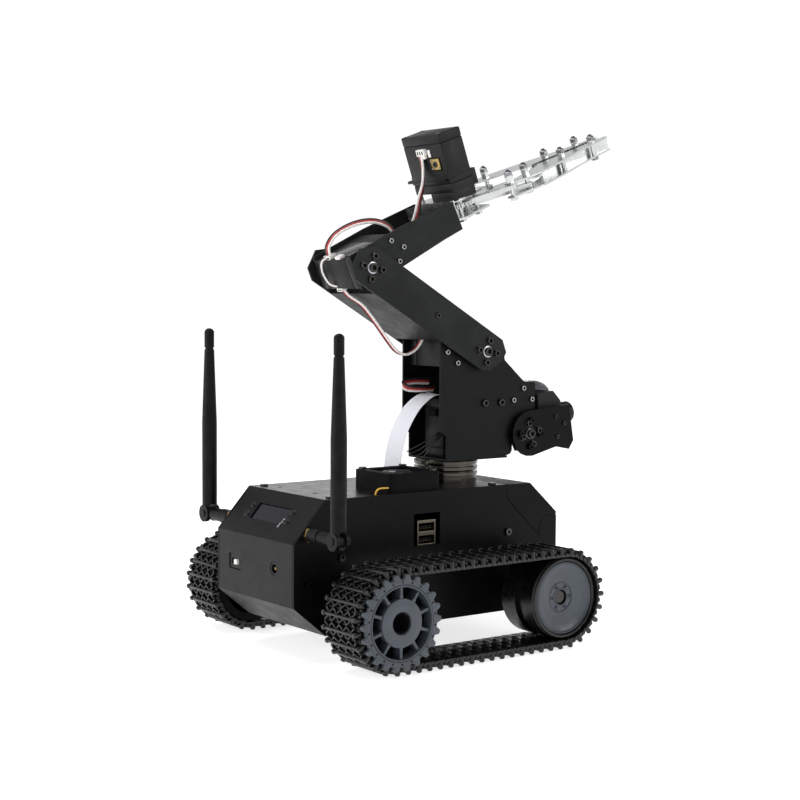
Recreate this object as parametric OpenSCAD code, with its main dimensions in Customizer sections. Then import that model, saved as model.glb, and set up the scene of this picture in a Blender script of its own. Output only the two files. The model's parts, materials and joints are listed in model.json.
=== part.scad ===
// Tracked robot: sheet-metal chassis on two tracks, slewing four-servo arm,
// parallel gripper, tilting camera, folding aerials and a cooling fan.
// +X is forward, +Y is the robot's left, +Z is up; z = 0 is the ground under the cleats.

/* [Chassis] */
// Length of the chassis box
chassis_len = 208.8; // [200:0.2:220]
// Width of the chassis box
chassis_w = 90; // [88:1:96]
// Height of the chassis floor above the ground
chassis_low = 16.6; // [15:0.2:18]
// Height of the top plate above the ground
chassis_top = 99.8; // [98:0.2:104]
// Sheet thickness of the chassis
sheet = 2; // [1.5:0.1:2]

/* [Tracks] */
// Length of one track link
link_pitch = 8; // [8:0.01:8.01]
// Teeth on the drive sprocket
sprocket_teeth = 22; // [22]
// Links in one track
track_links = 55; // [55]
// Inner edge of a track, from the mid-plane
track_in = 64; // [62:0.5:65]
// Width of a track
track_w = 35.2; // [34:0.2:35.4]
// Height of the axles above the ground
axle_z = 32.2; // [32.2:0.1:32.4]

/* [Arm] */
// Slew axis, forward of the chassis centre
slew_x = 45; // [42:1:48]
// Shoulder axis, forward of the chassis centre
shoulder_x = 59.6; // [59:0.2:60]
// Shoulder axis height
shoulder_z = 186.4; // [186:0.2:187]
// Length of the upper arm between its axes
upper_len = 108; // [106:1:110]
// Angle of the upper arm at rest
upper_angle = 150; // [149:1:151]
// Angle of the forearm at rest
forearm_angle = 26; // [25:1:27]
// Angle of the gripper at rest
gripper_angle = 20; // [19:1:21]
// Sheet thickness of the arm brackets
arm_sheet = 1.5; // [1:0.1:1.5]

/* [Gripper] */
// Length of each gripper link between its pins
grip_link = 38; // [36:1:40]
// Outward angle of the gripper links at rest
grip_angle = 22; // [20:1:26]
// Half the distance between the two gripper gears
gear_r = 10; // [10]

/* [Camera] */
// Tilt axis, forward of the chassis centre
tilt_x = 98; // [97:0.5:99]
// Tilt axis height
tilt_z = 130.2; // [129:0.2:131]
// Upward angle of the camera at rest
tilt_angle = 7; // [6:1:8]

/* [Hidden] */
$fn = 48;

half_len = chassis_len / 2;
half_w = chassis_w / 2;
wall_in = half_w - sheet;
run = 0.05;

// Track geometry: the pitch line, the belt and the cleats
pitch_r = sprocket_teeth * link_pitch / (2 * PI);
wheelbase = (track_links - sprocket_teeth) / 2 * link_pitch;
belt_in = 1.6;
belt_out = 0.6;
cleat_h = axle_z - pitch_r;
track_out = track_in + track_w;
track_mid = track_in + track_w / 2;
drum_r = pitch_r - belt_in - 0.4;

// Arm points
shoulder = [shoulder_x, 0, shoulder_z];
elbow = shoulder + upper_len * [cos(upper_angle), 0, sin(upper_angle)];
servo_half = 19.5;
column_out = servo_half + arm_sheet + 0.1;
arm_in = 24;
servo_l = 40;
servo_w = 20;
servo_shaft = 10;
gripper_reach = 90.5;
gripper_rise = 11;
gripper_origin = elbow + gripper_reach * [cos(gripper_angle), 0, sin(gripper_angle)]
    + gripper_rise * [-sin(gripper_angle), 0, cos(gripper_angle)];

// ---------- helpers ----------

// Mirrors its children to the right side when side is -1
module on_side(side) mirror([0, side < 0 ? 1 : 0, 0]) children();

// Solid of a profile in X and Z, from y0 to y1
module profile(points, y0, y1)
    translate([0, y1, 0]) rotate([90, 0, 0]) linear_extrude(y1 - y0) polygon(points);

// Cylinders along Y and X between two coordinates
module rod_y(r, y0, y1, n = 48)
    translate([0, y0, 0]) rotate([-90, 0, 0]) cylinder(r = r, h = y1 - y0, $fn = n);
module rod_x(r, x0, x1, n = 48)
    translate([x0, 0, 0]) rotate([0, 90, 0]) cylinder(r = r, h = x1 - x0, $fn = n);

// Box given by its two corners
module block(low, high) translate(low) cube(high - low);

// Frames of the arm members: local X runs along the member
module in_upper_arm() translate(shoulder) rotate([0, -upper_angle, 0]) children();
module in_forearm() translate(elbow) rotate([0, -forearm_angle, 0]) children();
module in_gripper() translate(gripper_origin) rotate([0, -gripper_angle, 0]) children();
module in_camera() translate([tilt_x, 0, tilt_z]) rotate([0, -tilt_angle, 0]) children();
module in_bevel() translate([-half_len, 0, rear_bevel_low]) rotate([0, -bevel_angle, 0]) children();

// Moves each edge of a clockwise or counter-clockwise outline inward by d
function edge_dir(a, b) = (b - a) / norm(b - a);
function corner_in(a, b, c, d) =
    let (u = edge_dir(a, b), v = edge_dir(b, c), nu = [-u[1], u[0]], nv = [-v[1], v[0]],
         s = d / (1 + nu * nv))
    b + s * (nu + nv);
function inset(p, d) = [for (i = [0 : len(p) - 1])
    corner_in(p[(i + len(p) - 1) % len(p)], p[i], p[(i + 1) % len(p)], d)];

// Points on an arc
function arc(c, r, a0, a1, n = 6) =
    [for (i = [0 : n]) let (a = a0 + (a1 - a0) * i / n) c + r * [cos(a), sin(a)]];

// Screw head with a hexagon socket, pointing along -Y or +Y from y
module cap_screw(r, y, h)
    difference() {
        rod_y(r, y, y + h, 24);
        rod_y(r * 0.5, y + h * 0.4, y + h + 1, 6);
    }

// Four screws round an axis, and their washers
module screw_ring(r_circle, y, angle)
    for (i = [0 : 3]) rotate([0, angle + 90 * i, 0]) translate([r_circle, 0, 0])
        cap_screw(2.4, y, 2.2);

// Sweeps a section along a route; side is a rough direction for the section's first axis
function unit(v) = v / norm(v);
function tangent(p, i) = unit(p[min(i + 1, len(p) - 1)] - p[max(i - 1, 0)]);
function ring(p, i, section, side) =
    let (t = tangent(p, i), w = unit(side - (side * t) * t), n = cross(t, w))
    [for (q = section) p[i] + q[0] * w + q[1] * n];
module sweep(p, section, side) {
    m = len(section);
    k = len(p);
    polyhedron(
        points = [for (i = [0 : k - 1]) each ring(p, i, section, side)],
        faces = concat(
            [[for (j = [0 : m - 1]) j]],
            [for (i = [0 : k - 2], j = [0 : m - 1])
                each [[i * m + j, (i + 1) * m + j, i * m + (j + 1) % m],
                      [(i + 1) * m + j, (i + 1) * m + (j + 1) % m, i * m + (j + 1) % m]]],
            [[for (j = [m - 1 : -1 : 0]) (k - 1) * m + j]]));
}
function round_section(r) = [for (j = [0 : 7]) r * [cos(45 * j), sin(45 * j)]];
function flat_section(w, t) = [[-w, -t], [w, -t], [w, t], [-w, t]] / 2;

// A smooth curve through hand-chosen points
function spline_point(a, b, c, d, t) =
    0.5 * (2 * b + (c - a) * t + (2 * a - 5 * b + 4 * c - d) * t * t
        + (3 * b - a - 3 * c + d) * t * t * t);
function spline(p, n) = concat(
    [for (i = [0 : len(p) - 2], j = [0 : n - 1])
        spline_point(p[max(i - 1, 0)], p[i], p[i + 1], p[min(i + 2, len(p) - 1)], j / n)],
    [p[len(p) - 1]]);

// ---------- chassis ----------

rear_bevel_low = 74.2;
bevel_run = 23.1;
bevel_angle = atan2(chassis_top - rear_bevel_low, bevel_run);
bevel_len = norm([bevel_run, chassis_top - rear_bevel_low]);
front_bevel_low = 79.1;
low_bevel = [22.9, 19];
outline = [
    [-half_len + low_bevel[0], chassis_low], [half_len - low_bevel[0], chassis_low],
    [half_len, chassis_low + low_bevel[1]], [half_len, front_bevel_low],
    [half_len - bevel_run, chassis_top], [-half_len + bevel_run, chassis_top],
    [-half_len, rear_bevel_low], [-half_len, chassis_low + low_bevel[1]]];
inner = inset(outline, sheet);

antenna_x = -93;
antenna_z = 79.5;
jack_y = -22.5;
jack_z = 57;
switch_y = 24;
switch_z = 55.3;
display_y = 0.5;
fan_x = -10.6;
fan_y = -21;
port_x = -4.6;
port_z = 75.8;
hole_x = -69.6;
hole_y = [26, -15];

// Outline of the flange where the front cover laps each side plate
flange = [[61, chassis_top], [61, 91], [69, 83], [89.4, 64], [90, 72.7], [95, 77],
    [half_len, 77], [half_len, front_bevel_low], [half_len - bevel_run, chassis_top]];

module side_plate(gap)
    difference() {
        profile(outline, wall_in, half_w);
        profile(inset(flange, -gap), wall_in - 1, half_w + 1);
        for (side = [-1, 1]) translate([side * wheelbase / 2, 0, axle_z]) rod_y(6.1, 30, 60);
        translate([antenna_x, 0, antenna_z]) rod_y(3.3, 30, 60);
    }

module chassis_tub() color([0.09, 0.09, 0.1]) {
    difference() {
        intersection() {
            difference() {
                profile(outline, -wall_in, wall_in);
                profile(inner, -half_w, half_w);
            }
            block([-half_len - 1, -half_w, 0], [half_len + 1, half_w, chassis_low + low_bevel[1]]);
        }
        for (x = [-50, 50], y = [-25, 25]) translate([x, y, 0]) cylinder(r = 1.6, h = 30);
    }
    side_plate(0.12);
    difference() {
        on_side(-1) side_plate(0.12);
        block([port_x - 10.4, -50, port_z - 10.2], [port_x + 10.4, -40, port_z + 10.2]);
    }
}

module top_cover() color([0.1, 0.1, 0.11])
    difference() {
        block([-half_len + bevel_run, -wall_in, chassis_top - sheet], [60.9, wall_in, chassis_top]);
        translate([fan_x, fan_y, 90]) cylinder(r = 17.5, h = 20);
        for (x = [-16, 16], y = [-16, 16]) translate([fan_x + x, fan_y + y, 90]) cylinder(r = 1.7, h = 20);
        for (y = hole_y) translate([hole_x, y, 90]) cylinder(r = 1.6, h = 20);
        translate([slew_x, 0, 90]) cylinder(r = 8, h = 20);
        block([3, 1, 90], [11, 19, 110]);
        block([fan_x - 32, -41, 90], [fan_x - 26.5, -35, 110]);
    }

module rear_panel() color([0.09, 0.09, 0.1])
    difference() {
        intersection() {
            difference() {
                profile(outline, -wall_in, wall_in);
                profile(inner, -half_w, half_w);
            }
            block([-half_len - 1, -half_w, chassis_low + low_bevel[1]],
                [-half_len + bevel_run, half_w, chassis_top + 1]);
        }
        translate([-half_len, jack_y, jack_z]) rod_x(4.4, -5, 5);
        block([-half_len - 1, switch_y - 6.7, switch_z - 4.7], [-half_len + 3, switch_y + 6.7, switch_z + 4.7]);
        in_bevel() block([12, display_y - 19, -4], [24, display_y + 19, 4]);
    }

module front_cover() color([0.09, 0.09, 0.1]) {
    intersection() {
        difference() {
            profile(outline, -wall_in, wall_in);
            profile(inner, -half_w, half_w);
        }
        block([61, -half_w, chassis_low + low_bevel[1]], [half_len + 1, half_w, chassis_top + 1]);
    }
    for (side = [-1, 1]) on_side(side) profile(flange, wall_in, half_w);
}

// Display: glass in front of a circuit board, behind the bevel's window
module oled_display() color([0.03, 0.03, 0.05])
    in_bevel() {
        block([12.3, display_y - 18.6, -3.2], [23.7, display_y + 18.6, -1]);
        block([9, display_y - 20, -5], [27, display_y + 20, -3.2]);
    }

// Power inlet and the fixed body of the slide switch
module rear_connectors() color([0.05, 0.05, 0.05]) {
    translate([-half_len, jack_y, jack_z])
        difference() {
            union() {
                rod_x(4.2, 0.2, 12);
                rod_x(5.5, 2, 12);
            }
            rod_x(2.9, -1, 9);
        }
    translate([-half_len, jack_y, jack_z]) rod_x(0.9, 1, 9.5);
    translate([-half_len, switch_y, switch_z])
        difference() {
            block([0.6, -6.5, -4.5], [9, 6.5, 4.5]);
            block([-1, -4.2, -1.9], [4.5, 4.2, 1.9]);
        }
}

// Sliding lever of the power switch, at the left end of its slot
module switch_lever() color([0.8, 0.8, 0.8])
    translate([-half_len, switch_y, switch_z]) {
        block([-0.9, -3.8, -1.6], [3.9, -0.4, 1.6]);
    }

board_z = 64;
module main_board() color([0.05, 0.25, 0.12])
    block([-48, -42.4, board_z], [38, 30, board_z + 1.6]);

// Two stacked sockets with an opening each
module usb_ports() color([0.75, 0.75, 0.76])
    difference() {
        block([port_x - 7.2, -44.4, board_z + 1.6], [port_x + 7.2, -27, board_z + 17.6]);
        for (z = [3.4, 11.3])
            block([port_x - 6.2, -46, board_z + 1.6 + z - 2.4], [port_x + 6.2, -36, board_z + 1.6 + z + 2.8]);
    }

// Finned cooler on the processor
module heatsink() color([0.7, 0.7, 0.72])
    translate([fan_x, fan_y + 22, board_z + 1.6]) {
        block([-18, -18, 0], [18, 18, 4]);
        for (i = [0 : 8]) block([-18, -17.5 + i * 4, 4], [18, -16 + i * 4, 18]);
    }

module battery_cells() color([0.2, 0.45, 0.3])
    for (y = [-21, 0, 21]) translate([0, y, chassis_low + sheet + 13]) rod_x(9.2, -30, 35);

module battery_tray() color([0.06, 0.06, 0.06])
    difference() {
        block([-34, -32, chassis_low + sheet], [39, 32, chassis_low + sheet + 16]);
        for (y = [-21, 0, 21]) translate([0, y, chassis_low + sheet + 13]) {
            rod_x(9.25, -30.2, 35.2);
            block([-30.2, -9.25, 0], [35.2, 9.25, 20]);
        }
    }

// Two gear motors back to back on the rear axle line, each with a bored boss
module gear_motors() color([0.55, 0.56, 0.58])
    for (side = [-1, 1]) on_side(side) translate([-wheelbase / 2, 0, axle_z])
        difference() {
            union() {
                rod_y(12.5, 4, wall_in);
                rod_y(6, wall_in, half_w + 5);
            }
            rod_y(3 + run, 25, 60);
        }

// Fixed axles of the front wheels, with a collar and a clamped nut
module idler_axles() color([0.5, 0.5, 0.52])
    for (side = [-1, 1]) on_side(side) translate([wheelbase / 2, 0, axle_z]) {
        rod_y(4, wall_in - 6, 92);
        rod_y(7, half_w, half_w + 17);
        rod_y(7.5, wall_in - 5, wall_in, 6);
    }

module antenna_sockets() color([0.7, 0.6, 0.3])
    for (side = [-1, 1]) on_side(side) translate([antenna_x, 0, antenna_z])
        difference() {
            union() {
                rod_y(4.9, half_w, half_w + 2.2, 6);
                rod_y(3.2, wall_in, half_w + 11);
            }
            rod_y(1.2, half_w + 5, half_w + 12, 24);
        }

// Screws of the panels: on the sides, the top and round the fan
side_screws = [[62, 68.7], [-70, 64], [95, 50], [-95, 50]];
top_screws = [[-74, 38], [-74, -38], [54, 38], [54, -38]];
module chassis_screws() color([0.2, 0.2, 0.2]) {
    for (side = [-1, 1]) on_side(side)
        for (p = side_screws) translate([p[0], 0, p[1]]) cap_screw(2.4, half_w, 1.5);
    for (p = top_screws) translate([p[0], p[1], chassis_top]) cylinder(r = 2.6, h = 1.2);
    for (x = [-16, 16], y = [-16, 16]) translate([fan_x + x, fan_y + y, chassis_top - sheet - 2]) {
        cylinder(r = 1.5, h = fan_h + sheet + 2);
        translate([0, 0, fan_h + sheet + 2]) cylinder(r = 2.6, h = 1.4);
    }
    in_bevel() for (p = [[14.5, -21.5], [14.5, 24.5], [21.5, -21.5], [21.5, 24.5]])
        translate([p[0], p[1], 0]) cylinder(r = 1.4, h = 0.9);
}

// ---------- cooling fan ----------

fan_h = 12;
module fan_frame() color([0.06, 0.06, 0.06])
    translate([fan_x, fan_y, chassis_top]) {
        difference() {
            linear_extrude(fan_h) offset(r = 3) square(34, center = true);
            translate([0, 0, -1]) cylinder(r = 19, h = fan_h + 2);
            for (x = [-16, 16], y = [-16, 16]) translate([x, y, -1]) cylinder(r = 1.6, h = fan_h + 2);
        }
        for (a = [45 : 90 : 315]) rotate([0, 0, a]) block([8, -1, 0], [20, 1, 1.6]);
        cylinder(r = 10, h = 1.6);
        cylinder(r = 1, h = 7);
    }

module fan_rotor() color([0.08, 0.08, 0.08])
    translate([fan_x, fan_y, chassis_top + 2.2])
        difference() {
            union() {
                cylinder(r = 10.5, h = 9);
                for (a = [0 : 40 : 320]) rotate([0, 0, a]) translate([9.5, 0, 4.5])
                    rotate([38, 0, 0]) block([0, -4.6, -0.6], [8.4, 4.6, 0.6]);
            }
            translate([0, 0, -1]) cylinder(r = 1 + run, h = 7);
        }

// ---------- tracks ----------

// Place on the track loop at distance s: x, z and the tilt about Y
function track_place(s) =
    s < wheelbase ? [-wheelbase / 2 + s, axle_z + pitch_r, 0] :
    s < wheelbase + PI * pitch_r ?
        let (a = 90 - (s - wheelbase) / pitch_r * 180 / PI)
        [wheelbase / 2 + pitch_r * cos(a), axle_z + pitch_r * sin(a), 90 - a] :
    s < 2 * wheelbase + PI * pitch_r ?
        [wheelbase / 2 - (s - wheelbase - PI * pitch_r), axle_z - pitch_r, 180] :
        let (a = -90 - (s - 2 * wheelbase - PI * pitch_r) / pitch_r * 180 / PI)
        [-wheelbase / 2 + pitch_r * cos(a), axle_z + pitch_r * sin(a), 90 - a];

// One link: belt plate with a raised cleat, and a guide lug on its inner face
module track_link() {
    profile([[-3.65, -belt_in], [3.65, -belt_in], [3.65, belt_out], [1.7, belt_out],
        [1.1, cleat_h], [-1.1, cleat_h], [-1.7, belt_out], [-3.65, belt_out]], track_in, track_out);
    profile([[-1.6, -belt_in], [-1, -belt_in - 3], [1, -belt_in - 3], [1.6, -belt_in]],
        track_mid - 2, track_mid + 2);
}
module track(side) color([0.06, 0.06, 0.06])
    on_side(side) for (i = [0 : track_links - 1]) {
        p = track_place(i * link_pitch);
        translate([p[0], 0, p[1]]) rotate([0, p[2], 0]) track_link();
    }
module track_left() track(1);
module track_right() track(-1);

tooth_root = 25.9;
tooth_tip = 28.9;
hub_r = 14.4;
window_r = 21.2;
function tooth_outline() = [for (i = [0 : sprocket_teeth - 1])
    let (a = 360 / sprocket_teeth)
    each [for (q = [[-0.34, tooth_root], [-0.15, tooth_tip], [0.15, tooth_tip], [0.34, tooth_root]])
        q[1] * [cos((i + q[0]) * a), sin((i + q[0]) * a)]]];

// Drive sprocket: hollow drum inside the track, spoked toothed face outside it
face_in = track_out + 0.5;
face_out = face_in + 3;
module sprocket(side) color([0.3, 0.34, 0.37])
    on_side(side) translate([-wheelbase / 2, 0, axle_z])
        difference() {
            union() {
                rod_y(drum_r, track_in + 1, face_in);
                translate([0, face_out, 0]) rotate([90, 0, 0]) linear_extrude(face_out - face_in)
                    polygon(tooth_outline());
            }
            difference() {
                rod_y(drum_r + 2, track_mid - 3, track_mid + 3);
                rod_y(22.6, track_mid - 4, track_mid + 4);
            }
            difference() {
                rod_y(21, track_in - 1, face_out - 5);
                rod_y(10, track_in - 2, face_out);
            }
            translate([0, face_out + 1, 0]) rotate([90, 0, 0]) linear_extrude(8)
                difference() {
                    circle(r = window_r);
                    circle(r = hub_r);
                    for (a = [0 : 36 : 324]) rotate(a + 18) translate([0, -1]) square([window_r + 1, 2]);
                }
            rod_y(6, 50, face_out + 1, 6);
        }
module sprocket_left() sprocket(1);
module sprocket_right() sprocket(-1);

// Motor output shaft with its hexagonal hub, which drives the sprocket
module drive_shaft(side) color([0.6, 0.6, 0.62])
    on_side(side) translate([-wheelbase / 2, 0, axle_z]) {
        rod_y(3, 28, 80);
        rod_y(5.95, half_w + 8, 93, 6);
    }
module drive_shaft_left() drive_shaft(1);
module drive_shaft_right() drive_shaft(-1);

// Front wheel: dished disc with a drilled hub, inside a black rim
disc_r = 23;
disc_back = 88;
module idler(side) color([0.3, 0.34, 0.37])
    on_side(side) translate([wheelbase / 2, 0, axle_z])
        difference() {
            union() {
                rod_y(9, track_in + 1, 95);
                rod_y(disc_r, disc_back, 96);
            }
            rod_y(4 + run, 50, 110);
            rod_y(4.7, 92.5, 110);
            translate([0, 93.2, 0]) rotate([-90, 0, 0]) cylinder(r1 = 16, r2 = 21.4, h = 2.9);
            for (a = [0 : 60 : 300]) rotate([0, a, 0]) translate([6, 0, 0]) rod_y(1.1, 91, 110, 24);
        }
module idler_left() idler(1);
module idler_right() idler(-1);

module idler_rim(side) color([0.05, 0.05, 0.05])
    on_side(side) translate([wheelbase / 2, 0, axle_z])
        difference() {
            rod_y(drum_r, track_in + 0.5, 97);
            difference() {
                rod_y(drum_r + 2, track_mid - 3, track_mid + 3);
                rod_y(22.8, track_mid - 4, track_mid + 4);
            }
            rod_y(21.3, track_in - 1, 98);
            rod_y(disc_r + 0.06, disc_back, 98);
        }
module idler_rim_left() idler_rim(1);
module idler_rim_right() idler_rim(-1);

// ---------- aerials ----------

whip_y = 75.5;
whip_top = 201;
knuckle_r = 5.6;

// Swivelling barrel with the tongue of the folding joint
module antenna_elbow(side) color([0.05, 0.05, 0.05])
    on_side(side) translate([antenna_x, 0, antenna_z]) {
        difference() {
            union() {
                rod_y(4.7, half_w + 2.6, half_w + 12);
                rod_y(4.2, half_w + 12, whip_y - knuckle_r - 0.6);
            }
            rod_y(3.2 + run, half_w, half_w + 11.4);
        }
        difference() {
            union() {
                block([-1.9, whip_y - knuckle_r - 0.8, -4], [1.9, whip_y, 4]);
                translate([0, whip_y, 0]) rod_x(4, -1.9, 1.9);
            }
            translate([0, whip_y, 0]) rod_x(1.2 + run, -3, 3);
        }
    }
module antenna_elbow_left() antenna_elbow(1);
module antenna_elbow_right() antenna_elbow(-1);

// Whip: straight lower half, tapered upper half with a groove below the rounded tip
whip_low = 60;
groove_z = whip_top - antenna_z - 13.8;
tip_z = whip_top - antenna_z - 2;
module antenna(side) color([0.04, 0.04, 0.04])
    translate([antenna_x, side * whip_y, antenna_z]) {
        difference() {
            union() {
                rod_x(knuckle_r, -4.9, 4.9);
                cylinder(r = 4.9, h = whip_low);
                translate([0, 0, whip_low]) cylinder(r1 = 4.9, r2 = 3.2, h = groove_z - whip_low);
                translate([0, 0, groove_z]) cylinder(r = 2.7, h = 1.4);
                translate([0, 0, groove_z + 1.4]) cylinder(r = 3.2, h = tip_z - groove_z - 1.4);
                translate([0, 0, tip_z]) cylinder(r1 = 3.2, r2 = 2.5, h = 1.1);
                translate([0, 0, tip_z + 1.1]) cylinder(r1 = 2.5, r2 = 1.1, h = 0.9);
            }
            block([-2.2, -20, -knuckle_r - 1], [2.2, 20, knuckle_r + 0.6]);
        }
        rod_x(1.2, -5.6, 5.3, 24);
        rod_x(2.2, -5.6, -4.9, 24);
    }
module antenna_left() antenna(1);
module antenna_right() antenna(-1);

// ---------- slew ring and column ----------

column_low = 114.5;
module slew_base() color([0.62, 0.62, 0.64])
    translate([slew_x, 0, chassis_top]) {
        difference() {
            union() {
                cylinder(r = 20.6, h = 3.4);
                cylinder(r = 19, h = 7);
                translate([0, 0, 4.4]) cylinder(r = 21.5, h = 2.2);
            }
            translate([0, 0, 3.4]) cylinder(r = 15, h = 20);
            translate([0, 0, -1]) cylinder(r = 3 + run, h = 30);
        }
        difference() {
            cylinder(r = 8, h = 12);
            translate([0, 0, -1]) cylinder(r = 3 + run, h = 30);
        }
    }

module slew_top() color([0.66, 0.66, 0.68])
    translate([slew_x, 0, chassis_top])
        difference() {
            union() {
                translate([0, 0, 7.3]) cylinder(r = 19, h = column_low - chassis_top - 7.3);
                translate([0, 0, 8]) cylinder(r = 21.5, h = 2.2);
                translate([0, 0, 11.6]) cylinder(r = 21.5, h = 2.4);
            }
            translate([0, 0, 5]) cylinder(r = 15, h = 20);
        }

// Side plate of the column, with its foot, its forward ear and a rounded toe
column_side = concat(
    [[29.5, column_low], [70.5, column_low], [73, 116.2], [81, 116.2]],
    arc([81.3, 120.2], 4, -90, 0, 3),
    [[85.3, 125], [88.5, 118.6], [103, 118.6], [105, 120.6], [105, 164.7], [95.4, 165.4],
     [78.4, 180.2], [76, 190], [68, 198], [24, 198], [24, 134], [29.5, 131]]);
module column() color([0.09, 0.09, 0.1])
    difference() {
        union() {
            for (side = [-1, 1]) on_side(side)
                profile(column_side, column_out - arm_sheet, column_out);
            block([29.5, -column_out, column_low], [81, column_out, column_low + arm_sheet]);
            block([78, -column_out, 160], [79.5, column_out, 176]);
        }
        translate([slew_x, 0, 100]) cylinder(r = 9, h = 30);
        translate(shoulder) rod_y(6, -40, 40);
        translate([tilt_x, 0, tilt_z]) rod_y(5, -40, 40);
        for (x = [61, 75]) translate([x, 0, 152]) rod_y(1.6, -40, 40);
    }

// Standard servo: shaft axis at the origin along Y, body from -shaft_end to +rest along X
module servo_body(l_back, l_front, bore_side) {
    difference() {
        block([-l_back, -servo_half, -servo_w / 2], [l_front, servo_half, servo_w / 2]);
        for (side = bore_side) on_side(side) rod_y(3 + run, 15.5, 30);
        for (side = [-1, 1]) on_side(side) {
            block([-l_back - 1, 13.4, -servo_w], [l_front + 1, 13.8, -servo_w / 2 + 0.4]);
        }
    }
}

module pan_servo() color([0.07, 0.07, 0.07])
    translate([slew_x, 0, column_low + arm_sheet]) {
        block([-servo_shaft, -servo_w / 2, 0], [servo_l - servo_shaft, servo_w / 2, 39]);
        translate([0, 0, -14.2]) cylinder(r = 3, h = 14.2);
    }
module shoulder_servo() color([0.07, 0.07, 0.07])
    translate(shoulder) servo_body(servo_l - servo_shaft, servo_shaft, [-1, 1]);
module tilt_servo() color([0.07, 0.07, 0.07])
    translate([tilt_x, 0, tilt_z])
        difference() {
            block([-6.5, -14, -6.5], [5.8, 14, 24]);
            for (side = [-1, 1]) on_side(side) rod_y(2 + run, 11, 30);
        }

// Fasteners seen on the column's outer faces
column_screw_places = [[29.1, 186.4], [37.5, 179.1], [94.5, 160.9], [102, 153.2], [85.8, 153.1]];
module column_screws() color([0.7, 0.7, 0.72])
    for (side = [-1, 1]) on_side(side) {
        for (p = column_screw_places) translate([p[0], 0, p[1]]) cap_screw(2, column_out, 1.6);
        for (x = [61, 75]) translate([x, 0, 152]) {
            rod_y(1.5, column_out - 3, column_out);
            cap_screw(2.4, column_out, 1.8);
        }
    }

// ---------- upper arm ----------

arm_half = 13;
arm_side = [[-14.5, -1.6], [-14.5, -7.4], [-7.4, -arm_half], [112, -arm_half], [122, -5.4], [121.4, 7.7],
    [114.5, arm_half], [-2.4, arm_half], [-8.5, 9.5]];
module upper_arm() color([0.09, 0.09, 0.1])
    in_upper_arm()
        difference() {
            union() {
                for (side = [-1, 1]) on_side(side) profile(arm_side, arm_in, arm_in + arm_sheet);
                block([38, -arm_in, arm_half - arm_sheet], [98, arm_in, arm_half]);
            }
            for (x = [0, upper_len]) translate([x, 0, 0]) rod_y(3.4, -40, 40);
            translate([48, 0, 0]) rod_y(1.6, -40, 40);
        }

// Servo horns: a disc against each plate, with the shaft that turns in the servo
module upper_arm_horns() color([0.12, 0.12, 0.12])
    in_upper_arm() for (x = [0, upper_len], side = [-1, 1])
        on_side(side) translate([x, 0, 0]) {
            rod_y(10, column_out + 0.4, arm_in);
            rod_y(3, 16, column_out + 0.4);
        }

module upper_arm_screws() color([0.15, 0.15, 0.15])
    in_upper_arm() for (side = [-1, 1]) on_side(side) {
        for (x = [0, upper_len]) translate([x, 0, 0]) {
            screw_ring(7.3, arm_in + arm_sheet, 20);
            rod_y(3.3, arm_in, arm_in + arm_sheet + 0.6);
            cap_screw(2.6, arm_in + arm_sheet + 0.6, 1.6);
        }
        translate([48, 0, 0]) {
            rod_y(1.5, arm_in, arm_in + arm_sheet);
            cap_screw(1.9, arm_in + arm_sheet, 1);
        }
    }

// ---------- forearm ----------

forearm_side = [[-10, -10.5], [24, -11], [79.4, -9], [79.4, 10], [34, 12.6], [-10, 12.6]];
module forearm() color([0.09, 0.09, 0.1])
    in_forearm()
        difference() {
            union() {
                for (side = [-1, 1]) on_side(side)
                    profile(forearm_side, column_out - arm_sheet, column_out);
                block([40, -column_out, -9.6], [79.4, column_out, -8.1]);
            }
            rod_y(6, -40, 40);
        }
module elbow_servo() color([0.07, 0.07, 0.07])
    in_forearm() servo_body(servo_shaft, servo_l - servo_shaft, [-1, 1]);

module forearm_screws() color([0.75, 0.75, 0.77])
    in_forearm() for (side = [-1, 1]) on_side(side)
        for (p = [[23, 8], [30.3, 0.3], [23.5, -6.6]]) translate([p[0], 0, p[1]])
            cap_screw(1.9, column_out, 1.4);

// ---------- gripper ----------

// Layers of the gripper in its own frame: base plates, gears, links and finger plates
base_gap = 5.5;
base_sheet = 1.5;
finger_gap = 3.8;
pin_r = 1.6;
follower_x = 17;
grip_tip = 146;

module gripper_base() color([0.78, 0.78, 0.8])
    in_gripper() {
        difference() {
            union() {
                for (z = [-base_gap - base_sheet, base_gap])
                    translate([0, 0, z]) linear_extrude(base_sheet)
                        polygon([[-13, -17], [-4, -21], [6, -17], [follower_x + 6, -12.5],
                            [follower_x + 6, 12.5], [6, 17], [-4, 21], [-13, 17]]);
                block([-13, -16, -base_gap], [-11.4, 16, base_gap]);
            }
            for (x = [0, follower_x], side = [-1, 1])
                translate([x, side * (x == 0 ? gear_r : gear_r - 3.2), -20]) cylinder(r = pin_r + run, h = 40);
            translate([0, -gear_r, base_gap - 1]) cylinder(r = 3 + run, h = 10);
        }
        for (side = [-1, 1]) on_side(side) {
            translate([-7.6, 17.8, base_gap + base_sheet]) cylinder(r = 1.5, h = 5);
            block([-22, column_out - 3, -6], [-10.6, column_out - arm_sheet, 6]);
            block([-13, 15.9, -4], [-11.4, column_out - arm_sheet, 4]);
        }
    }

module gripper_servo() color([0.07, 0.07, 0.07])
    in_gripper()
        difference() {
            union() {
                block([-9.5, -20, 12], [9.5, 20, 51.5]);
                block([-9.5, -26, 20], [9.5, 26, 22]);
                translate([0, -gear_r, 7.2]) cylinder(r = 9, h = 5);
                block([9.5, -19, 12], [14, 8, 23]);
            }
            translate([0, -gear_r, 0]) cylinder(r = 3 + run, h = 18);
        }

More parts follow.
